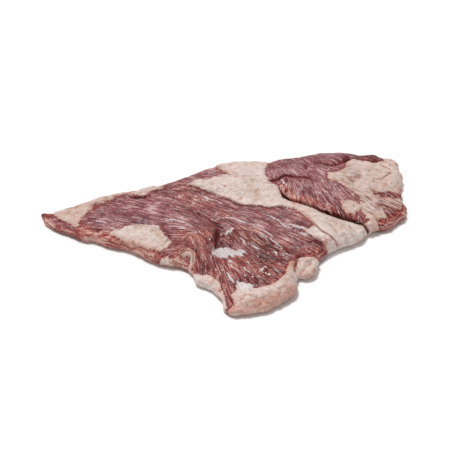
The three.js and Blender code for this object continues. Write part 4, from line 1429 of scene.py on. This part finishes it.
    def lean_colour(self, tree: bpy.types.NodeTree, read: dict[str, Socket], seen: dict[str, Socket]) -> Socket:
        """Gives the muscle's colour: streaks from dark to pale, and thin marbling."""
        # The tone term holds each muscle's tone and the painted shade of some hollows; the side term lightens the
        # side faces, painted light that offsets their shade.
        level = self.weighted(
            tree, (seen["bundle"], 1.1), (seen["fibre"], 1.4), (seen["broad"], 0.8), (seen["mottle"], 0.25),
            (seen["speck"], 0.8), (read["tone"], 1.0), (read["side"], 0.2), start=0.475,
        )
        pale = add_node(
            tree, "ShaderNodeMath", {0: self.line(tree, seen["pale"], 0.05, 0.028), 1: read["marbling"]},
            operation="MULTIPLY",
        )
        rose, russet = (
            add_node(tree, "ShaderNodeValToRGB", {"Fac": level}, stops=stops) for stops in (self.lean, self.russet)
        )
        at_side = add_node(tree, "ShaderNodeMath", {0: read["side"], 1: 0.75}, operation="MULTIPLY")
        warm = add_node(tree, "ShaderNodeMath", {0: read["russet"], 1: at_side}, operation="MAXIMUM")
        return self.layered(
            tree, rose,
            (
                (read["mauve"], self.mauve, 0.4),
                (warm, russet, 1.0),
                (self.line(tree, seen["dark"], -0.05, 0.03), self.dark_streak, 0.45),
                (pale, self.pale_streak, 0.9),
                (self.weighted(tree, (read["seam"], 2.0), start=-1.0), self.seam, 0.85),
            ),
        )

    def fat_colour(self, tree: bpy.types.NodeTree, read: dict[str, Socket], seen: dict[str, Socket]) -> Socket:
        """Gives the fat's colour: warm white, browner where thin, with a net of veins."""
        # The side term lightens the fat's side faces, painted light that offsets their shade.
        level = self.weighted(
            tree, (seen["broad"], 0.8), (seen["mottle"], 0.9), (seen["speck"], 0.35), (read["tan"], -0.35),
            (read["side"], 0.16), start=0.65,
        )
        base = add_node(tree, "ShaderNodeValToRGB", {"Fac": level}, stops=self.fat)
        vein = self.line(tree, seen["vein"], 0.0, 0.07)
        gate = self.weighted(tree, (seen["mottle"], 3.5), (seen["broad"], 5.0), (read["side"], 0.4), start=0.15)
        gated = add_node(tree, "ShaderNodeMath", {0: vein, 1: gate}, operation="MULTIPLY", use_clamp=True)
        near_edge = self.weighted(tree, (read["fat"], -0.3), (seen["broad"], 2.5), (seen["mottle"], 2.0), start=0.75)
        blush = self.weighted(
            tree, (read["side"], 0.45), (read["gap"], 0.6), (read["russet"], 0.9), (seen["mottle"], 3.0),
            (seen["broad"], 3.0), start=-0.4,
        )
        streaks = add_node(
            tree, "ShaderNodeMath",
            {0: self.weighted(tree, (seen["dark"], 11.0), (seen["fibre"], 9.0), start=-0.45), 1: read["thin"]},
            operation="MULTIPLY",
        )
        veiled = self.weighted(tree, (seen["bundle"], 2.5), (read["thin"], 0.8), start=-0.25)
        return self.layered(
            tree, base,
            (
                (near_edge, self.blush, 0.25),
                (blush, self.blush, 0.64),
                (veiled, self.veil, 0.5),
                (streaks, self.dark_streak, 0.8),
                (gated, self.fat_vein, 0.7),
            ),
        )

    def silver_colour(self, tree: bpy.types.NodeTree, seen: dict[str, Socket]) -> Socket:
        """Gives the silverskin's colour, a cool white that the muscle tints."""
        tint = self.weighted(tree, (seen["bundle"], 2.0), (seen["speck"], 1.5), start=0.1)
        return self.layered(tree, linear(self.silver), ((tint, self.fat_film, 0.9),))


@dataclass(frozen=True)
class MoistTissue:
    """Soft pork tissue left on the cut face by the knife: moist, almost white, pink in places."""

    name: str
    pale: str
    pink: str
    roughness: float = 0.4
    refraction: float = 1.4
    blotch: float = 3.0

    def build(self) -> bpy.types.Material:
        """Makes the material."""
        material = bpy.data.materials.new(self.name)
        material.use_nodes = True
        tree = material.node_tree
        tree.nodes.clear()
        place = add_node(tree, "ShaderNodeTexCoord", output="Object")
        noise = {"Vector": place, "Scale": 1 / (self.blotch * MM), "Detail": 2.0}
        level = add_node(tree, "ShaderNodeTexNoise", noise)
        colour = add_node(
            tree, "ShaderNodeValToRGB", {"Fac": level}, stops=((0.38, self.pale), (0.62, self.pink))
        )
        shader = add_node(
            tree, "ShaderNodeBsdfPrincipled",
            {"Base Color": colour, "Roughness": self.roughness, "IOR": self.refraction},
        )
        add_node(tree, "ShaderNodeOutputMaterial", {"Surface": shader})
        return material


@dataclass(frozen=True)
class StudioPaper:
    """Matt white background paper, which shows as an even pale ground."""

    name: str = "matt_white_paper"
    colour: str = "#fbfafa"

    def build(self) -> bpy.types.Material:
        """Makes the material."""
        material = bpy.data.materials.new(self.name)
        material.use_nodes = True
        shader = material.node_tree.nodes["Principled BSDF"]
        shader.inputs["Base Color"].default_value = linear(self.colour)
        shader.inputs["Roughness"].default_value = 0.9
        shader.inputs["Specular IOR Level"].default_value = 0.1
        return material


# ------------------------------------------------------------------ the cut


@dataclass
class PorkCut:
    """The whole cut as one closed mesh with its fine relief and tissue attributes."""

    fibre_relief: float = 0.5
    crumb_relief: float = 0.3
    pillow_relief: float = 1.25
    lobule_relief: float = 1.5
    lobule_cell: float = 4.2
    fat_stand: float = 0.75
    silver_stand: float = 0.3
    rim_rag: float = 1.5
    tissues: TissueMap = field(init=False)
    values: dict[str, Array] = field(init=False)

    def build(self) -> bpy.types.Object:
        """Makes the cut's object.

        Returns:
            The object, at the origin, in metres.
        """
        form = MeatForm()
        cut = CutMesh(form, SurfaceGrid(form))
        self.tissues = TissueMap(cut.plan)
        grain = self.tissues.grain
        dark, depth = self.tissues.clefts()
        self.values = self.tissues.fat()
        self.values["silver"] = self.tissues.silverskin()
        self.values["seam"] = self.seams(cut.faces)
        lobules = self.values.pop("lobules")
        relief = self.relief(cut, lobules, depth)
        points = cut.points + cut.normals() * relief[:, None]
        points[:, 2] = np.maximum(points[:, 2], 0.0)
        low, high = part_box(NODE)
        middle = (points[:, :2].min(0) + points[:, :2].max(0)) / 2
        points[:, :2] += np.array([low.x + high.x, low.y + high.y]) / 2 / MM - middle
        piece = mesh_object("secreto_meat", points * MM, cut.faces)
        upper = np.arange(len(points)) < cut.upper_count
        # The dark lines go on the upper face: painted shade in fissures and pits, own colour in veins and streaks.
        self.values.update(
            cleft=dark * upper, side=ease(-np.abs(cut.turn), -0.95, -0.5), tone=grain.tone, mauve=grain.mauve,
            russet=grain.russet, marbling=grain.marbling, thin=grain.thin,
        )
        bare = upper & (self.values["fat"] < -1.0) & (self.values["silver"] < -0.5) & (cut.turn > 1.2)
        self.values["fleck"] = bare * grain.flecks
        self.values["thread"] = bare * grain.marbling
        for name, array in self.values.items():
            attribute = piece.data.attributes.new(name, "FLOAT", "POINT")
            attribute.data.foreach_set("value", array.astype(np.float32))
        rim = measure_against(form.closed_rim, cut.plan)
        runs = {
            "grain": np.stack([grain.along, grain.across, grain.number], axis=1),
            "rimwise": np.stack([rim.along * rim.length, points[:, 2], np.full(len(points), 3.0)], axis=1),
            "fibre": np.column_stack([grain.direction, np.zeros(len(points))]),
        }
        for name, array in runs.items():
            attribute = piece.data.attributes.new(name, "FLOAT_VECTOR", "POINT")
            attribute.data.foreach_set("vector", array.astype(np.float32).ravel())
        return piece

    def seams(self, faces: Array) -> Array:
        """Marks the points where two muscles meet, fading over the next few points."""
        number = self.tissues.grain.number
        seam = np.zeros(len(number))
        seam[faces[np.ptp(number[faces], axis=1) > 0]] = 1.0
        for _ in range(3):
            np.maximum.at(seam, faces, 0.7 * seam[faces].max(axis=1, keepdims=True))
        return seam

    def relief(self, cut: CutMesh, lobules: Array, depth: Array) -> Array:
        """Gives the height of the fine relief at each point.

        Args:
            cut: The surface.
            lobules: How lumpy the fat is.
            depth: The clefts' depth.

        Returns:
            Heights along the surface's own direction, in mm.
        """
        x, y = cut.plan.T
        grain, fat = self.tissues.grain, self.values["fat"]
        fibres = layered_noise(grain.along / 10, grain.across / 2.0 + grain.number, 3.0, 3)
        crumbs = layered_noise(x / 2.4, y / 2.4, 9.0, 3)
        lengthwise, crosswise = 0.91 * x - 0.41 * y, 0.41 * x + 0.91 * y
        pillows = layered_noise(lengthwise / 13, crosswise / 6, 15.0, 3)
        bent_x, bent_y = x + 1.2 * value_noise(x / 5, y / 5, 31), y + 1.2 * value_noise(x / 5, y / 5, 37)
        domes, groove = cell_domes(bent_x / self.lobule_cell, bent_y / self.lobule_cell, 21.0)
        self.values["gap"] = lobules * np.exp(-((groove / 0.2) ** 2))
        in_fat = ease(fat, -0.4, 0.9)
        lean = self.fibre_relief * fibres * (1 - self.values["seam"]) + self.crumb_relief * crumbs
        soft = self.pillow_relief * pillows + self.lobule_relief * lobules * (domes - 0.75)
        soft += 0.5 * self.crumb_relief * crumbs
        stand = self.fat_stand * in_fat + self.silver_stand * ease(self.values["silver"], -0.3, 0.6)
        border = 0.3 * np.exp(-(((fat + 0.5) / 0.8) ** 2))
        torn = self.rim_rag * (1 + 0.8 * ease(x, 105, 135))
        rag = torn * layered_noise(x / 7, y / 7, 51.0, 4) * ease(-np.abs(cut.turn), -1.0, -0.4)
        top = (lean * (1 - in_fat) + soft * in_fat + stand - depth - border) * (cut.turn >= 0)
        edge = ease(np.abs(cut.turn), 0.0, 0.25)
        return top * edge + rag * ease(cut.turn, -1.2, -0.4)


def grown(name: str, carrier: bpy.types.Mesh, tree: bpy.types.NodeTree, sizes: dict) -> bpy.types.Object:
    """Grows a piece by geometry nodes and keeps it as a plain mesh.

    Args:
        name: The piece's name.
        carrier: The mesh that the tree starts from.
        tree: The geometry nodes, whose inputs are named for the sizes.
        sizes: A value for each named input.

    Returns:
        The piece, without its modifier.
    """
    made = bpy.data.objects.new(name, carrier)
    bpy.context.scene.collection.objects.link(made)
    modifier = made.modifiers.new("grow", "NODES")
    modifier.node_group = tree
    for item in tree.interface.items_tree:
        if item.in_out == "INPUT" and item.name in sizes:
            modifier[item.identifier] = sizes[item.name]
    graph = bpy.context.evaluated_depsgraph_get()
    mesh = bpy.data.meshes.new_from_object(made.evaluated_get(graph))
    made.modifiers.clear()
    made.data = mesh
    return made


def new_tree(name: str, sizes: dict) -> bpy.types.NodeTree:
    """Makes an empty geometry tree with a geometry in and out and a named input for each size."""
    tree = bpy.data.node_groups.new(name, "GeometryNodeTree")
    for way in ("INPUT", "OUTPUT"):
        tree.interface.new_socket("Geometry", in_out=way, socket_type="NodeSocketGeometry")
    for size in sizes:
        tree.interface.new_socket(size, in_out="INPUT", socket_type="NodeSocketFloat")
    return tree


@dataclass
class FatFlecks:
    """Crumbs of fat that the knife left lying along the muscle fibres."""

    density: float = 34000.0
    radius: float = 0.55 * MM
    roughen: float = 2.1 * MM
    thinnest: tuple[float, float, float] = (0.3, 0.2, 0.2)
    thickest: tuple[float, float, float] = (3.4, 1.9, 1.0)
    seed: int = 12
    finish: MoistTissue = MoistTissue("pork_fat_crumbs", "#d3c0b8", "#b98f83")

    def build(self, meat: bpy.types.Object) -> bpy.types.Object:
        """Makes the flecks on the cut's muscle."""
        sizes = {"Density": self.density, "Radius": self.radius, "Roughen": self.roughen}
        return grown("fat_flecks", meat.data, self.tree(sizes), sizes)

    def tree(self, sizes: dict) -> bpy.types.NodeTree:
        """Scatters crumbs where the cut's fleck attribute allows, turned along its fibres."""
        tree = new_tree("fat_fleck_scatter", sizes)
        start = add_node(tree, "NodeGroupInput").node.outputs
        allowed = add_node(tree, "GeometryNodeInputNamedAttribute", {"Name": "fleck"}, data_type="FLOAT")
        density = add_node(tree, "ShaderNodeMath", {0: allowed, 1: start["Density"]}, operation="MULTIPLY")
        points = add_node(
            tree, "GeometryNodeDistributePointsOnFaces",
            {"Mesh": start["Geometry"], "Density": density, "Seed": self.seed},
        )
        fibre = add_node(
            tree, "GeometryNodeInputNamedAttribute", {"Name": "fibre"}, data_type="FLOAT_VECTOR"
        )
        turned = add_node(
            tree, "FunctionNodeAlignRotationToVector",
            {"Rotation": points.node.outputs["Rotation"], "Vector": fibre}, axis="X", pivot_axis="Z",
        )
        size = add_node(
            tree, "FunctionNodeRandomValue", {0: self.thinnest, 1: self.thickest, "Seed": self.seed},
            data_type="FLOAT_VECTOR",
        )
        crumb = add_node(tree, "GeometryNodeMeshIcoSphere", {"Radius": start["Radius"], "Subdivisions": 2})
        placed = add_node(
            tree, "GeometryNodeInstanceOnPoints",
            {"Points": points, "Instance": crumb, "Rotation": turned, "Scale": size},
        )
        real = add_node(tree, "GeometryNodeRealizeInstances", {"Geometry": placed})
        place = add_node(tree, "GeometryNodeInputPosition")
        noise = {"Vector": place, "Scale": 1 / (1.5 * MM), "Detail": 1.0}
        wobble = add_node(tree, "ShaderNodeTexNoise", noise, "Color")
        centred = add_node(tree, "ShaderNodeVectorMath", {0: wobble, 1: (0.5, 0.5, 0.5)}, operation="SUBTRACT")
        shift = add_node(
            tree, "ShaderNodeVectorMath", {0: centred, "Scale": start["Roughen"]}, operation="SCALE"
        )
        rough = add_node(tree, "GeometryNodeSetPosition", {"Geometry": real, "Offset": shift})
        smooth = add_node(tree, "GeometryNodeSetShadeSmooth", {"Geometry": rough})
        done = add_node(
            tree, "GeometryNodeSetMaterial", {"Geometry": smooth, "Material": self.finish.build()}
        )
        add_node(tree, "NodeGroupOutput", {"Geometry": done})
        return tree


@dataclass
class SinewThreads:
    """Fine pale threads of connective tissue that run with the fibres on the cut face."""

    count: int = 340
    step: float = 1.0
    length: tuple[int, int] = (6, 20)
    steepest: float = 1.1
    sunk: float = 0.12
    drift: float = 0.12
    radius: float = 0.22 * MM
    seed: int = 5
    finish: MoistTissue = MoistTissue("pork_sinew", "#d2bcb6", "#b88d87")

    def build(self, meat: bpy.types.Object) -> bpy.types.Object:
        """Makes the threads on the cut's muscle."""
        sizes = {"Radius": self.radius}
        return grown("sinew_threads", self.routes(meat), self.tree(sizes), sizes)

    def routes(self, meat: bpy.types.Object) -> bpy.types.Mesh:
        """Draws each thread's route over the surface, along the fibres.

        Args:
            meat: The cut, with its thread and fibre attributes.

        Returns:
            A mesh of edges alone, in metres.
        """
        data, count = meat.data, len(meat.data.vertices)
        places, fibre, allowed = np.zeros(3 * count), np.zeros(3 * count), np.zeros(count)
        data.vertices.foreach_get("co", places)
        data.attributes["fibre"].data.foreach_get("vector", fibre)
        data.attributes["thread"].data.foreach_get("value", allowed)
        places, fibre = places.reshape(-1, 3), fibre.reshape(-1, 3)
        faces = [tuple(p.vertices) for p in data.polygons]
        tree = BVHTree.FromPolygons(places.tolist(), faces)
        draw = np.random.default_rng(self.seed)
        starts = draw.choice(count, self.count, replace=False, p=allowed / allowed.sum())
        points, edges = [], []
        for first in starts:
            place, way = places[first], fibre[first]
            for number in range(int(draw.integers(*self.length))):
                hit, _, face, _ = tree.ray_cast(Vector((place[0], place[1], 1.0)), Vector((0, 0, -1)))
                if hit is None or (number and abs(hit.z - points[-1][2]) > self.steepest * MM):
                    break
                corner = faces[face][0]
                if not allowed[corner]:
                    break
                if number:
                    edges.append((len(points) - 1, len(points)))
                points.append((hit.x, hit.y, hit.z - self.sunk * MM))
                way = 0.5 * (way + fibre[corner]) + draw.normal(0, self.drift, 3) * (1, 1, 0)
                way = way / np.linalg.norm(way)
                place = place + way * self.step * MM
        mesh = bpy.data.meshes.new("thread_routes")
        mesh.from_pydata(points, edges, [])
        return mesh

    def tree(self, sizes: dict) -> bpy.types.NodeTree:
        """Gives each route a round section that thins towards both ends."""
        tree = new_tree("sinew_thread_sweep", sizes)
        start = add_node(tree, "NodeGroupInput").node.outputs
        curve = add_node(tree, "GeometryNodeMeshToCurve", {"Mesh": start["Geometry"]})
        share = add_node(tree, "GeometryNodeSplineParameter", output="Factor")
        angle = add_node(tree, "ShaderNodeMath", {0: share, 1: math.pi}, operation="MULTIPLY")
        swell = add_node(tree, "ShaderNodeMath", {0: angle}, operation="SINE")
        taper = add_node(tree, "ShaderNodeMath", {0: swell, 1: 0.85, 2: 0.15}, operation="MULTIPLY_ADD")
        ready = add_node(tree, "GeometryNodeSetCurveRadius", {"Curve": curve, "Radius": taper})
        section = add_node(
            tree, "GeometryNodeCurvePrimitiveCircle", {"Radius": start["Radius"], "Resolution": 6}
        )
        swept = add_node(
            tree, "GeometryNodeCurveToMesh",
            {"Curve": ready, "Profile Curve": section, "Scale": taper, "Fill Caps": True},
        )
        smooth = add_node(tree, "GeometryNodeSetShadeSmooth", {"Geometry": swept})
        real = add_node(tree, "GeometryNodeRealizeInstances", {"Geometry": smooth})
        done = add_node(tree, "GeometryNodeSetMaterial", {"Geometry": real, "Material": self.finish.build()})
        add_node(tree, "NodeGroupOutput", {"Geometry": done})
        return tree


def mesh_object(name: str, points: Array, faces: Array) -> bpy.types.Object:
    """Makes a smooth mesh of triangles.

    Args:
        name: The object's name.
        points: Its points in metres.
        faces: Its triangles.

    Returns:
        The object, linked to the scene.
    """
    mesh = bpy.data.meshes.new(name)
    mesh.vertices.add(len(points))
    mesh.vertices.foreach_set("co", points.astype(np.float32).ravel())
    mesh.loops.add(faces.size)
    mesh.loops.foreach_set("vertex_index", faces.astype(np.int32).ravel())
    mesh.polygons.add(len(faces))
    mesh.polygons.foreach_set("loop_start", np.arange(0, faces.size, 3, dtype=np.int32))
    mesh.polygons.foreach_set("use_smooth", np.ones(len(faces), bool))
    mesh.update(calc_edges=True)
    mesh.validate()
    made = bpy.data.objects.new(name, mesh)
    bpy.context.scene.collection.objects.link(made)
    return made


# ------------------------------------------------------------------ studio


@dataclass
class Studio:
    """The pale floor, the soft lights and the camera."""

    elevation: float = 38.0
    distance: float = 808.42
    aim: tuple[float, float, float] = (-0.5, 9.0, 0.0)
    lens: float = 85.0
    sensor: float = 36.0
    floor_size: float = 10000.0
    sky_strength: float = 0.4
    key_strength: float = 2.35
    key_spread: float = 20.0
    key_from: tuple[float, float, float] = (-0.22, 0.22, 1.0)

    def camera(self) -> None:
        """Sets the camera at the photograph's viewing angle."""
        data = bpy.data.cameras.new("camera")
        data.lens = self.lens
        data.sensor_width = self.sensor
        data.clip_start, data.clip_end = 0.01, 20.0
        camera = bpy.data.objects.new("camera", data)
        rise = math.radians(self.elevation)
        back = Vector((0, -math.cos(rise), math.sin(rise)))
        camera.location = (Vector(self.aim) + back * self.distance) * MM
        camera.rotation_euler = (-back).to_track_quat("-Z", "Y").to_euler()
        bpy.context.scene.collection.objects.link(camera)
        bpy.context.scene.camera = camera

    def floor(self) -> None:
        """Lays the paper that the cut rests on."""
        half = self.floor_size / 2 * MM
        level = -0.02 * MM
        mesh = bpy.data.meshes.new("floor")
        mesh.from_pydata(
            [(-half, -half, level), (half, -half, level), (half, half, level), (-half, half, level)],
            [], [(0, 1, 2, 3)],
        )
        floor = bpy.data.objects.new("floor", mesh)
        bpy.context.scene.collection.objects.link(floor)
        floor.data.materials.append(StudioPaper().build())

    def lights(self) -> None:
        """Hangs one broad soft key high over the cut, in an evenly bright room."""
        world = bpy.data.worlds.new("studio")
        world.use_nodes = True
        background = world.node_tree.nodes["Background"]
        background.inputs["Color"].default_value = (1, 1, 1, 1)
        background.inputs["Strength"].default_value = self.sky_strength
        bpy.context.scene.world = world
        data = bpy.data.lights.new("key", "SUN")
        data.energy = self.key_strength
        data.angle = math.radians(self.key_spread)
        lamp = bpy.data.objects.new("key", data)
        lamp.rotation_euler = (-Vector(self.key_from)).to_track_quat("-Z", "Y").to_euler()
        bpy.context.scene.collection.objects.link(lamp)
        bpy.context.scene.view_settings.view_transform = "Standard"


def main() -> None:
    """Builds and dresses the cut round the frame, and sets the studio."""
    logging.basicConfig(level=logging.INFO, format="%(name)s: %(message)s")
    studio = Studio()
    studio.camera()
    meat = PorkCut().build()
    meat.data.materials.append(RawPork().build())
    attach(meat, BODY)
    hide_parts(NODE)
    LOG.info("%s: %d triangles", meat.name, len(meat.data.polygons))
    for garnish in (FatFlecks(), SinewThreads()):
        piece = garnish.build(meat)
        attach(piece, BODY)
        piece.data.calc_loop_triangles()
        LOG.info("%s: %d triangles", piece.name, len(piece.data.loop_triangles))
    studio.floor()
    studio.lights()


if __name__ == "__main__":
    main()
